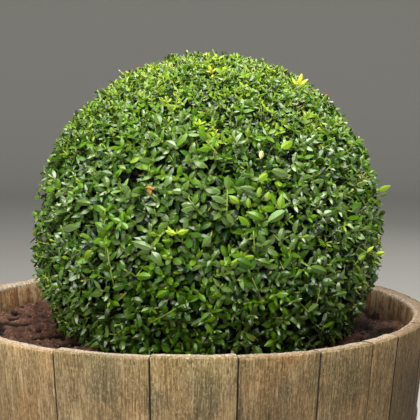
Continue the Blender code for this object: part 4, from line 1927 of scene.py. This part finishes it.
FACE_LEAVES = (
    FaceLeaf((207.0, 167.0), (194.0, 159.0), Tone.GREY, 0.52),
    FaceLeaf((227.4, 189.5), (227.8, 176.0), Tone.GREY, 0.52),
    FaceLeaf((261.0, 158.5), (262.0, 151.0), Tone.PALE, 0.60),
    FaceLeaf((289.0, 175.0), (272.0, 170.0), Tone.GREY, 0.46),
    FaceLeaf((258.0, 181.5), (267.0, 173.5), Tone.YOUNG, 0.55),
    FaceLeaf((255.0, 188.5), (239.0, 187.5), Tone.GREY, 0.38),
    FaceLeaf((259.6, 196.5), (259.6, 187.5), Tone.YOUNG, 0.62),
    FaceLeaf((239.0, 203.0), (229.0, 195.5), Tone.YOUNG, 0.60),
    FaceLeaf((249.0, 207.5), (249.0, 198.0), Tone.YOUNG, 0.60),
    FaceLeaf((267.0, 200.5), (268.0, 191.5), Tone.YOUNG, 0.80),
    FaceLeaf((281.0, 208.5), (281.0, 194.0), Tone.YOUNG, 0.56),
    FaceLeaf((268.0, 222.0), (285.0, 211.0), Tone.FRESH, 0.46),
    FaceLeaf((262.0, 219.0), (247.0, 212.0), Tone.FRESH, 0.50),
    FaceLeaf((249.0, 225.0), (238.0, 216.0), Tone.FRESH, 0.56),
    FaceLeaf((226.0, 202.0), (212.0, 195.0), Tone.GREY, 0.48),
    FaceLeaf((197.0, 206.0), (181.0, 210.5), Tone.GREY, 0.38),
    FaceLeaf((234.0, 223.5), (227.0, 214.0), Tone.GREY, 0.52),
    FaceLeaf((280.0, 241.0), (283.0, 228.0), Tone.GREY, 0.54),
    FaceLeaf((211.0, 236.0), (201.5, 247.0), Tone.GREY, 0.52),
    FaceLeaf((184.0, 229.0), (187.0, 219.0), Tone.GREY, 0.54),
    FaceLeaf((176.0, 234.0), (165.0, 231.0), Tone.LIME, 0.50),
    FaceLeaf((177.0, 233.5), (188.0, 229.5), Tone.LIME, 0.50),
    FaceLeaf((172.0, 236.0), (168.0, 226.5), Tone.LIME, 0.48),
    FaceLeaf((147.5, 185.0), (151.0, 194.5), Tone.DEAD, 0.45),
    FaceLeaf((147.0, 187.5), (154.5, 189.5), Tone.DEAD, 0.50, -0.002),
    FaceLeaf((151.0, 248.0), (131.0, 241.0), Tone.GREY, 0.38),
    FaceLeaf((151.0, 249.0), (135.0, 253.5), Tone.GREY, 0.36),
    FaceLeaf((151.5, 252.0), (161.0, 264.0), Tone.GREY, 0.62),
    FaceLeaf((139.0, 157.0), (130.0, 163.0), Tone.YOUNG, 0.56),
    FaceLeaf((171.0, 175.5), (164.0, 187.0), Tone.GREY, 0.56),
    FaceLeaf((253.0, 267.5), (237.0, 259.0), Tone.MIDDLE, 0.50),
    FaceLeaf((258.0, 260.0), (273.0, 266.0), Tone.GREY, 0.42),
    FaceLeaf((290.0, 249.0), (294.0, 241.5), Tone.GREY, 0.60),
    FaceLeaf((284.0, 270.0), (292.0, 256.0), Tone.MIDDLE, 0.50),
    FaceLeaf((309.5, 267.0), (312.0, 256.5), Tone.GREY, 0.46),
    FaceLeaf((311.0, 267.0), (326.0, 272.0), Tone.GREY, 0.40),
    FaceLeaf((309.0, 312.5), (318.0, 304.0), Tone.GREY, 0.62),
    FaceLeaf((322.0, 329.5), (333.0, 322.0), Tone.FRESH, 0.46),
    FaceLeaf((353.0, 211.5), (362.0, 202.0), Tone.MIDDLE, 0.50),
    FaceLeaf((378.0, 191.0), (391.0, 184.5), Tone.YOUNG, 0.42, 0.000, True),
    FaceLeaf((380.0, 196.0), (387.0, 193.0), Tone.FRESH, 0.50, 0.000, True),
    FaceLeaf((300.0, 84.0), (303.5, 73.0), Tone.GOLD, 0.50, 0.001, True),
    FaceLeaf((300.0, 84.5), (308.0, 78.0), Tone.GOLD, 0.50, 0.000, True),
    FaceLeaf((297.0, 85.0), (293.5, 76.5), Tone.GOLD, 0.56, 0.000, True),
    FaceLeaf((367.0, 252.5), (375.0, 247.0), Tone.LIME, 0.50, 0.000, True),
    FaceLeaf((376.0, 254.0), (385.0, 252.5), Tone.LIME, 0.50, 0.000, True),
    FaceLeaf((377.0, 257.5), (383.5, 262.0), Tone.YOUNG, 0.50, 0.000, True),
    FaceLeaf((121.0, 222.0), (115.5, 230.0), Tone.FRESH, 0.50),
    FaceLeaf((121.0, 222.0), (128.0, 229.0), Tone.FRESH, 0.50),
    FaceLeaf((121.0, 222.0), (121.5, 212.5), Tone.FRESH, 0.46),
    FaceLeaf((121.0, 222.0), (111.5, 218.5), Tone.FRESH, 0.46),
    FaceLeaf((84.0, 257.5), (92.0, 250.0), Tone.YOUNG, 0.52),
    FaceLeaf((136.0, 276.0), (151.0, 276.0), Tone.FRESH, 0.46),
    FaceLeaf((156.0, 297.5), (167.0, 290.0), Tone.FRESH, 0.50),
    FaceLeaf((76.0, 201.5), (89.0, 203.5), Tone.GREY, 0.34),
    FaceLeaf((61.5, 228.5), (76.0, 225.0), Tone.GREY, 0.36),
    FaceLeaf((176.0, 146.0), (187.0, 133.0), Tone.FRESH, 0.42),
    FaceLeaf((176.0, 146.0), (165.0, 141.0), Tone.GREY, 0.52),
    FaceLeaf((282.0, 148.0), (292.0, 141.0), Tone.YOUNG, 0.56),
    FaceLeaf((160.0, 124.0), (156.0, 113.5), Tone.GREY, 0.52),
)

# Of each pair of leaves, from a shoot's tip back: its share of the full length, on a fresh shoot and on
# a clipped one, how wide it opens, and how far back the next pair grows.
FRESH_GROWTH = (0.50, 0.76, 0.92, 1.0, 1.0, 1.0)
CLIPPED_GROWTH = (0.82, 1.0, 1.0, 1.0, 1.0, 1.0)
OPENING_DEG = (42.0, 54.0, 62.0, 68.0, 72.0, 74.0)
PAIR_SPACING = (0.0042, 0.0064, 0.0076, 0.0084, 0.0090, 0.0)
BUD_TONES = (Tone.PALE, Tone.PALE, Tone.PALE, Tone.LIME, Tone.YOUNG, Tone.GREY, Tone.DEAD)

Sector = tuple[list[Copies], list[Copies]]  # of the leaf forms for outer and for inner pairs


@dataclass
class BoxPlant:
    """The plant: its stem, boughs, twigs and leaves, grown by one seeded rule from the stem out."""

    space: BallSpace
    view: Viewpoint
    seed: int = 5
    stem_foot_radius: float = 0.030
    stem_top_radius: float = 0.015
    rules: tuple[LimbRule, ...] = (
        LimbRule(20, 0.36, 0.0085, 0.0055, 6),
        LimbRule(120, 0.66, 0.0050, 0.0030, 6),
        LimbRule(640, 0.84, 0.0026, 0.0014, 5),
    )
    shoots_on_whole_sphere: int = 3900
    crown_shoots_on_whole_sphere: int = 2900  # added over the top, where the leaves are smaller
    shoot_radius: float = 0.0011
    shoot_tip_radius: float = 0.0007
    shoot_points: int = 4
    shoot_depth: tuple[float, float] = (0.004, 0.013)  # of most tips under the outline
    limb_clearance: float = 0.006  # of a limb above the soil
    tip_clearance: float = 0.005  # of a shoot's tip above the soil
    bend_clearance: float = 0.003  # of the point that pulls a shoot
    limb_wander: float = 0.008  # how far a limb's end strays
    limb_bow: float = 0.006
    shoot_wander: float = 0.004
    stem_waviness: float = 0.0012
    petiole_lift: float = 0.004
    petiole_from: float = 0.8  # share of the parent's path where long stems and petioles leave it
    lean: float = 0.62  # sideways part of a shoot's direction, at most
    lift: float = 0.62  # how strongly shoots turn up to the light
    hollow_depth: float = 0.022  # of the dark gaps between the sprays
    hollow_size: float = 0.024
    leaf_length: float = 0.0163
    first_pair: float = 0.0010  # how far back from a shoot's tip its leaves begin
    angle_spread_deg: float = 14.0  # how far a leaf's angle strays, each way
    clipped_opening_deg: float = 9.0  # how much wider the pairs of a clipped shoot open
    shortest_share: float = 0.62  # of its full length to which a leaf may be cut
    stem_cap: float = 0.004  # height of its pointed top
    stem_swell: float = 0.003  # more radius towards its foot
    foot_flare: float = 0.8  # how much of the foot's extra radius the flare has
    bark_rings: int = 18
    bark_steps: int = 36
    bark_ridge: float = 0.0009
    bark_size: tuple[float, float, float] = (0.006, 0.006, 0.030)
    sectors: int = 6
    face_leaves: tuple[FaceLeaf, ...] = FACE_LEAVES
    stems: tuple[SurfaceStem, ...] = (
        SurfaceStem((112.0, 286.0), (104.0, 236.0), 0.004, 0.0013, 0.030, 0.013, Tone.MIDDLE, True),
        SurfaceStem((105.0, 258.0), (104.0, 208.0), 0.002, 0.0009, 0.004, 0.011, Tone.FRESH),
        SurfaceStem((199.0, 212.0), (182.0, 190.0), 0.002, 0.0008, 0.002, 0.010, Tone.GREY),
        SurfaceStem((227.0, 214.0), (227.4, 189.5), 0.001, 0.0008, 0.030, 0.040, Tone.GREY),
        SurfaceStem((317.0, 306.0), (321.0, 285.0), 0.001, 0.0009, 0.030, 0.040, Tone.MIDDLE, True),
        SurfaceStem((255.0, 252.0), (254.0, 231.0), 0.002, 0.0008, 0.030, 0.040, Tone.MIDDLE, True),
        SurfaceStem((118.0, 301.0), (126.0, 293.0), 0.001, 0.0008, 0.030, 0.040, Tone.MIDDLE, True),
        SurfaceStem((216.0, 151.0), (197.0, 130.0), 0.003, 0.0009, 0.006, 0.012, Tone.FRESH),
        SurfaceStem((150.0, 324.0), (182.0, 306.0), 0.003, 0.0009, 0.004, 0.012, Tone.MIDDLE),
        SurfaceStem((262.0, 300.0), (248.0, 268.0), 0.003, 0.0009, 0.004, 0.011, Tone.MIDDLE),
    )
    spots: tuple[ColourSpot, ...] = (
        ColourSpot((301.0, 77.0), 0.011, Tone.GOLD),
        ColourSpot((216.0, 127.0), 0.005, Tone.LIME),
        ColourSpot((325.0, 126.0), 0.010, Tone.LIME),
        ColourSpot((171.0, 96.0), 0.010, Tone.LIME),
        ColourSpot((264.0, 100.0), 0.008, Tone.LIME),
        ColourSpot((368.0, 177.0), 0.009, Tone.PALE),
        ColourSpot((282.0, 145.0), 0.007, Tone.YOUNG),
        ColourSpot((248.0, 203.0), 0.009, Tone.YOUNG),
        ColourSpot((262.0, 215.0), 0.016, Tone.FRESH),
        ColourSpot((380.0, 254.0), 0.010, Tone.LIME),
        ColourSpot((187.0, 347.0), 0.010, Tone.FRESH),
    )
    draw: random.Random = field(init=False)
    stem_foot: float = field(init=False)
    stem_top: float = field(init=False)
    orders: list[list[Limb]] = field(init=False)
    shoots: list[Limb] = field(init=False)
    long_stems: list[Limb] = field(init=False)
    petioles: list[Limb] = field(init=False)
    spot_directions: list[tuple[ColourSpot, Vector]] = field(init=False)

    def grow(self) -> None:
        """Grows the limbs order by order, then the shoots."""
        self.draw = random.Random(self.seed)
        low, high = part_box("stem")
        self.stem_foot, self.stem_top = low.z, high.z
        self.orders = []
        fork = Vector((self.space.centre.x, self.space.centre.y, self.stem_top))
        foot = Vector((fork.x, fork.y, self.stem_foot))
        stem = Limb((foot, fork), self.stem_foot_radius, self.stem_top_radius, UP)
        parents = [stem]
        for rule in self.rules:
            limbs = [
                self.grow_limb(direction, rule, parents)
                for direction in even_directions(rule.count)
                if direction.z > self.space.lowest()
            ]
            self.orders.append(limbs)
            parents = limbs
        self.shoots = [
            self.grow_shoot(direction, parents)
            for direction in even_directions(self.shoots_on_whole_sphere)
            if direction.z > self.space.lowest()
        ]
        self.shoots += [
            self.grow_shoot(direction, parents)
            for direction in even_directions(self.crown_shoots_on_whole_sphere)
            if direction.z > self.draw.uniform(0.25, 0.60)
        ]
        self.long_stems = [self.grow_stem(stem, parents) for stem in self.stems]
        self.petioles = [self.grow_petiole(leaf, parents) for leaf in self.face_leaves]

    def grow_limb(self, direction: Vector, rule: LimbRule, parents: Sequence[Limb]) -> Limb:
        """Grows one limb from its parent.

        Args:
            direction: Its direction from the ball's centre.
            rule: Its order's rule.
            parents: The limbs of the order before.

        Returns:
            The limb.
        """
        draw = self.draw
        parent = parent_of(direction, parents)
        wander = draw_direction(draw) * self.limb_wander
        lowest = self.space.ground + self.limb_clearance
        tip = self.space.centre + direction * (rule.reach * self.space.reach(direction)) + wander
        tip.z = max(tip.z, lowest)
        start = parent.at(draw.uniform(0.55, 0.95))
        ahead = (parent.path[-1] - parent.path[-2]).normalized()
        pull = start + ahead * (0.35 * (tip - start).length) + draw_direction(draw) * self.limb_bow
        pull.z = max(pull.z, lowest)
        return Limb(bend(start, pull, tip, rule.points), rule.radius, rule.tip_radius, direction)

    def grow_shoot(self, direction: Vector, parents: Sequence[Limb]) -> Limb:
        """Grows a leafy shoot that ends just inside the outline.

        Args:
            direction: Its direction from the ball's centre.
            parents: The finest limbs.

        Returns:
            The shoot.
        """
        draw = self.draw
        parent = parent_of(direction, parents)
        start = parent.at(draw.uniform(0.5, 1.0))
        end = self.space.reach(direction) - draw.uniform(*self.shoot_depth) - self.hollow(direction)
        end += max(0.0, draw.gauss(-0.004, 0.004))
        tip = self.space.centre + direction * end + draw_direction(draw) * self.shoot_wander
        tip.z = max(tip.z, self.space.ground + self.tip_clearance)
        upwards = UP * self.lift * (1.0 - max(0.0, direction.z))
        aim = (direction + upwards + draw_direction(draw) * self.lean).normalized()
        pull = tip - aim * (0.55 * (tip - start).length)
        pull.z = max(pull.z, self.space.ground + self.bend_clearance)
        woody = draw.random() < 0.50 - 0.35 * direction.z
        return self.shoot(start, pull, tip, direction, woody)

    def shoot(self, start: Vector, pull: Vector, tip: Vector, direction: Vector, woody: bool) -> Limb:
        """Makes a thin limb along a curve.

        Args:
            start: Where it leaves its parent.
            pull: The point that pulls the curve.
            tip: Its end.
            direction: Its direction from the ball's centre.
            woody: Whether it is brown, not green.

        Returns:
            The limb.
        """
        path = bend(start, pull, tip, self.shoot_points)
        return Limb(path, self.shoot_radius, self.shoot_tip_radius, direction, woody)

    def hollow(self, direction: Vector) -> float:
        """Gives how far the shoots fall short of the outline, in the gaps between the sprays.

        Args:
            direction: The direction from the ball's centre.

        Returns:
            The distance, less over the top.
        """
        at = direction * (self.space.radius / self.hollow_size)
        gap = noise.noise(at + Vector((4.2, 0.7, 1.9)))
        shallow = 1.0 - 0.85 * smooth_share(direction.z, 0.3, 0.9)
        return self.hollow_depth * shallow * smooth_share(gap, 0.06, 0.42)

    def grow_stem(self, stem: SurfaceStem, parents: Sequence[Limb]) -> Limb:
        """Grows a stem from the limb nearest its start, then along just under the outline.

        Args:
            stem: The stem.
            parents: The finest limbs.

        Returns:
            The limb.
        """
        ends = [self.space.seen_at(self.view, pixel) for pixel in (stem.start, stem.end)]
        parent = parent_of(ends[0], parents)
        path = [parent.at(self.petiole_from)]
        for share in (0.0, 0.35, 0.7, 1.0):
            direction = ends[0].lerp(ends[1], share).normalized()
            depth = stem.depth + self.stem_waviness * math.sin(9.0 * share)
            path.append(self.space.centre + direction * (self.space.reach(direction) - depth))
        return Limb(tuple(path), stem.radius * 1.2, stem.radius * 0.8, ends[1], stem.woody)

    def grow_petiole(self, leaf: FaceLeaf, parents: Sequence[Limb]) -> Limb:
        """Grows the short twig that carries one of the larger leaves.

        Args:
            leaf: The leaf.
            parents: The finest limbs.

        Returns:
            The twig, its end at the leaf's base.
        """
        direction = self.space.seen_at(self.view, leaf.base)
        start = parent_of(direction, parents).at(self.petiole_from)
        tip = self.space.centre + direction * (self.space.reach(direction) - leaf.depth)
        pull = start.lerp(tip, 0.6) + UP * self.petiole_lift
        return self.shoot(start, pull, tip, direction, False)

    def tone_of(self, direction: Vector, fresh: bool) -> Tone:
        """Deals a spray its colour, by where it stands: deeper greens low down and younger ones over the
        top, partly real growth and partly painted shade and light.

        Args:
            direction: The spray's direction from the ball's centre.
            fresh: Whether it has grown since the last clipping.

        Returns:
            The tone.
        """
        for spot, middle in self.spot_directions:
            if (direction - middle).length * self.space.radius < spot.radius:
                return spot.tone
        # painted light and shade: low sprays are dealt deeper greens and more sheen, those over the top
        # paler young ones, partly as real growth
        high = smooth_share(direction.z, -0.4, 0.9)
        top = smooth_share(direction.z, 0.45, 0.95)
        weights = {
            Tone.DEEP: 0.28 - 0.20 * high,
            Tone.MIDDLE: 0.30 + 0.06 * high - 0.16 * top,
            Tone.FRESH: 0.20 + 0.12 * high + (0.10 if fresh else 0.0),
            Tone.GREY: 0.34 - 0.12 * high + 0.02 * top,
            Tone.YOUNG: 0.01 + 0.50 * top + (0.03 if fresh else 0.0),
            Tone.LIME: 0.07 * top,
            Tone.GOLD: 0.012 * top,
        }
        return self.draw.choices(list(weights), list(weights.values()))[0]

    def add_leaf(
        self,
        groups: Sequence[Copies],
        node: Vector,
        along: Vector,
        upper: Vector,
        length: float,
        tone: Tone,
        share: float,
    ) -> None:
        """Adds one leaf to a group of copies.

        Args:
            groups: The copies of each leaf form that may be taken.
            node: Where it leaves its twig.
            along: Its direction.
            upper: Where its upper face looks, roughly.
            length: Its length.
            tone: Its tone.
            share: Its width beside its length.
        """
        across = along.cross(upper).normalized()
        face = across.cross(along)
        columns = (across * (length * share), along * length, face * length)
        place = Matrix(columns).transposed().to_4x4()
        place.translation = node
        self.draw.choice(groups).add(place, (int(tone), int(UNDERSIDES.get(tone, tone))))

    def leaf_shoot(self, shoot: Limb, near: Sequence[Copies], deep: Sequence[Copies]) -> None:
        """Sets crossed pairs of leaves along a shoot, from its tip back.

        Args:
            shoot: The shoot.
            near: The copies of the finer leaf forms, for the outer pairs.
            deep: The copies of the simpler forms, for the inner pairs.
        """
        draw = self.draw
        top = smooth_share(shoot.direction.z, 0.2, 0.95)
        fine = max(top, 0.5 * smooth_share(abs(shoot.direction.x), 0.72, 0.98))
        fresh = draw.random() < 0.30 + 0.30 * top
        tone = self.tone_of(shoot.direction, fresh)
        vigour = draw.uniform(0.76, 1.20) * (1.02 - 0.38 * fine)
        spare = (0.0015 + max(0.0, draw.gauss(0.0, 0.0022))) * (1.0 - 0.6 * top)
        side = draw_direction(draw)
        back = self.first_pair
        light = (shoot.direction + UP * 0.7).normalized()
        cut = draw.random() < 0.26 + 0.10 * fine
        growth = FRESH_GROWTH if fresh else CLIPPED_GROWTH
        wider = 0.0 if fresh else self.clipped_opening_deg
        for pair, spacing in enumerate(PAIR_SPACING):
            node, ahead = shoot.back_from_tip(back)
            side = ahead.cross(side).normalized()
            back += spacing * draw.uniform(0.8, 1.25) * (1.0 - 0.3 * fine)
            if cut and pair == 0:
                bud = draw.choice(BUD_TONES)
                self.add_leaf(near, node, ahead, light, draw.uniform(0.003, 0.006), bud, 0.6)
                continue
            for sense in (-1.0, 1.0):
                stray = draw.uniform(-self.angle_spread_deg, self.angle_spread_deg)
                angle = math.radians(OPENING_DEG[pair] + wider + stray)
                along = ahead * math.cos(angle) + side * (sense * math.sin(angle))
                along = (along + draw_direction(draw) * 0.18).normalized()
                upper = ahead * math.sin(angle) - side * (sense * math.cos(angle))
                upper += light * 0.72 + draw_direction(draw) * 0.50
                full = self.leaf_length * vigour * growth[pair] * draw.uniform(0.80, 1.14)
                length = min(full, self.space.room(node, along, spare))
                if length < self.shortest_share * full:
                    continue
                shade = self.shade(tone, pair, fresh, top)
                forms = near if pair < (3 if top > 0.5 else 4) else deep
                self.add_leaf(forms, node, along, upper, length, shade, draw.uniform(0.42, 0.58))

    def leaf_stem(self, stem: SurfaceStem, limb: Limb, groups: Sequence[Copies]) -> None:
        """Sets spread pairs of leaves along a surface stem.

        Args:
            stem: The stem.
            limb: Its path.
            groups: The copies of the leaf forms that may be taken.
        """
        draw = self.draw
        back = stem.first_pair
        length_along = sum((far - near).length for near, far in zip(limb.path[1:], limb.path[2:]))
        side = limb.direction
        while back < length_along:
            node, ahead = limb.back_from_tip(back)
            outward = (node - self.space.centre).normalized()
            side = ahead.cross(side).normalized()
            for sense in (-1.0, 1.0):
                angle = math.radians(draw.uniform(40.0, 62.0))
                along = ahead * math.cos(angle) + side * (sense * math.sin(angle)) + outward * 0.15
                length = self.leaf_length * draw.uniform(0.8, 1.05)
                upper = outward + UP * 0.5 + draw_direction(draw) * 0.35
                width = draw.uniform(0.48, 0.58)
                self.add_leaf(groups, node, along.normalized(), upper, length, stem.tone, width)
            back += stem.pair_spacing

    def shade(self, tone: Tone, pair: int, fresh: bool, top: float) -> Tone:
        """Gives a leaf's own tone.

        Args:
            tone: Its spray's tone.
            pair: Its pair, from the tip back: the inner ones are darker, partly older leaves and partly
                painted shade.
            fresh: Whether the shoot's tip is younger than the rest.
            top: How near the crown it is, 0 to 1: there, single leaves differ more.

        Returns:
            The tone.
        """
        chance = self.draw.random()
        if fresh and pair == 0 and tone in (Tone.MIDDLE, Tone.FRESH, Tone.GREY):
            return Tone.FRESH if chance < 0.65 else Tone.YOUNG
        # painted shade: the inner pairs take the darkest tones
        if pair >= 4:
            return Tone.DEEP if chance < top else Tone.OLD
        if pair == 3 and chance < top:
            return Tone.MIDDLE
        if pair == 3:
            return Tone.DEEP if chance < 0.35 + 0.65 * top else Tone.OLD
        if chance < 0.24 and tone in (Tone.DEEP, Tone.MIDDLE, Tone.FRESH):
            return Tone.GREY if chance < 0.12 else Tone.MIDDLE
        if chance < 0.5 * top and tone in (Tone.DEEP, Tone.MIDDLE):
            return Tone.FRESH
        return tone

    def sector_of(self, limb: Limb, sectors: Sequence[Sector]) -> Sector:
        """Picks the sector that a limb grows in.

        Args:
            limb: The limb.
            sectors: The sectors.

        Returns:
            The sector.
        """
        turn = math.atan2(limb.direction.y, limb.direction.x) / math.tau % 1.0
        return sectors[int(turn * self.sectors) % self.sectors]

    def build_leaves(self) -> None:
        """Makes the leaves, joined in one piece to each sector of the ball."""
        near = [form.pattern() for form in NEAR_FORMS]
        deep = [form.pattern() for form in DEEP_FORMS]
        sectors = [
            ([Copies(pattern) for pattern in near], [Copies(pattern) for pattern in deep])
            for _ in range(self.sectors)
        ]
        for shoot in self.shoots:
            self.leaf_shoot(shoot, *self.sector_of(shoot, sectors))
        for stem, limb in zip(self.stems, self.long_stems, strict=True):
            self.leaf_stem(stem, limb, self.sector_of(limb, sectors)[0])
        for leaf, limb in zip(self.face_leaves, self.petioles, strict=True):
            base, tip = leaf.lay(self.space, self.view)
            along = tip - base
            upper = limb.direction + UP * 0.15 + draw_direction(self.draw) * 0.25
            forms = self.sector_of(limb, sectors)[0]
            self.add_leaf(forms, base, along.normalized(), upper, along.length, leaf.tone, leaf.share)
        finishes = [LEAF_FINISHES[tone].material() for tone in Tone]
        for number, (outer, inner) in enumerate(sectors, start=1):
            name = f"box_leaves_{number}"
            mesh = join_copies(name, [*outer, *inner])
            show(name, mesh, finishes, ["foliage_ball"])

    def limb_curves(self, name: str, limbs: Sequence[Limb], sides: int) -> bpy.types.Mesh:
        """Makes tapering tubes of some limbs.

        Args:
            name: The mesh's name.
            limbs: The limbs.
            sides: The curve's bevel resolution: 0 gives four sides, 2 gives eight.

        Returns:
            The mesh, its end caps welded.
        """
        curve = bpy.data.curves.new(name, "CURVE")
        curve.dimensions = "3D"
        curve.bevel_depth = 1.0
        curve.bevel_resolution = sides
        curve.use_fill_caps = True
        for limb in limbs:
            spline = curve.splines.new("POLY")
            last = len(limb.path) - 1
            spline.points.add(last)
            spline.material_index = int(limb.woody)
            for number, (point, place) in enumerate(zip(spline.points, limb.path, strict=True)):
                point.co = (*place, 1.0)
                point.radius = limb.radius + (limb.tip_radius - limb.radius) * number / last
        guide = bpy.data.objects.new(name, curve)
        bpy.context.scene.collection.objects.link(guide)
        graph = bpy.context.evaluated_depsgraph_get()
        mesh = bpy.data.meshes.new_from_object(guide.evaluated_get(graph))
        bpy.data.objects.remove(guide)
        bpy.data.curves.remove(curve)
        form = bmesh.new()
        form.from_mesh(mesh)
        bpy.data.meshes.remove(mesh)
        bmesh.ops.remove_doubles(form, verts=form.verts, dist=WELD)
        bmesh.ops.recalc_face_normals(form, faces=form.faces)
        return mesh_from(form, name)

    def build_twigs(self) -> None:
        """Makes the fine limbs and the shoots in one piece."""
        limbs = [*self.orders[2], *self.shoots, *self.long_stems, *self.petioles]
        mesh = self.limb_curves("box_twigs", limbs, 0)
        finishes = [
            PlainFinish("twig_green", display(132, 146, 58), 0.6, 0.3).material(),
            PlainFinish("twig_tan", display(160, 130, 86), 0.7, 0.3).material(),
        ]
        show("box_twigs", mesh, finishes, ["foliage_ball"])

    def build_boughs(self) -> None:
        """Makes the stem and the boughs, with the bark's relief on them."""
        boughs = self.limb_curves("box_boughs", [*self.orders[0], *self.orders[1]], 2)
        form = bmesh.new()
        form.from_mesh(boughs)
        bpy.data.meshes.remove(boughs)
        height = self.stem_top - self.stem_foot
        profile = [(0.0, self.stem_top + self.stem_cap)]
        for ring in range(self.bark_rings + 1):
            share = ring / self.bark_rings
            flare = (self.stem_foot_radius - self.stem_top_radius) * share**3
            radius = self.stem_top_radius + self.stem_swell * share + flare * self.foot_flare
            profile.append((radius, self.stem_top - height * share))
        profile.append((0.0, self.stem_foot))
        axis = Vector((self.space.centre.x, self.space.centre.y, 0.0))
        turn_profile(form, profile, self.bark_steps, axis)
        form.normal_update()
        for vert in form.verts:
            if vert.co.z > self.stem_foot + WELD:
                vert.co += vert.normal * (self.bark_ridge * lumps(vert.co, self.bark_size))
        mesh = mesh_from(form, "box_boughs")
        show("box_stem_and_boughs", mesh, [BOX_BARK.material()], ["stem"])

    def build(self) -> None:
        """Grows and makes the plant."""
        seen_at = self.space.seen_at
        self.spot_directions = [(spot, seen_at(self.view, spot.pixel)) for spot in self.spots]
        self.grow()
        self.build_boughs()
        self.build_twigs()
        self.build_leaves()


# ---------------------------------------------------------------- all of it


def main() -> None:
    """Builds every piece and the studio round them."""
    shape = TubShape.measured()
    view = Viewpoint()
    view.build()
    space = BallSpace.over(*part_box("stem"))
    Studio().build()
    boards = nodes_named("head_board_")
    floor = np.concatenate([node_points(name) for name in boards])
    foot, top = floor[:, 2].min() - GROOVE_PLAY, floor[:, 2].max() + GROOVE_PLAY
    floor_radius = np.hypot(floor[:, 0], floor[:, 1]).max() + GROOVE_SPARE
    Staves(shape, view, foot, top, floor_radius).build()
    Hoops(shape).build()
    board_finish = FLOOR_OAK.material()
    for name in boards:
        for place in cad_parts[name].material_slots:
            place.material = board_finish
    SoilBed(shape, space.ground).build()
    BoxPlant(space, view).build()


if __name__ == "__main__":
    logging.basicConfig(level=logging.INFO, format="%(message)s")
    main()
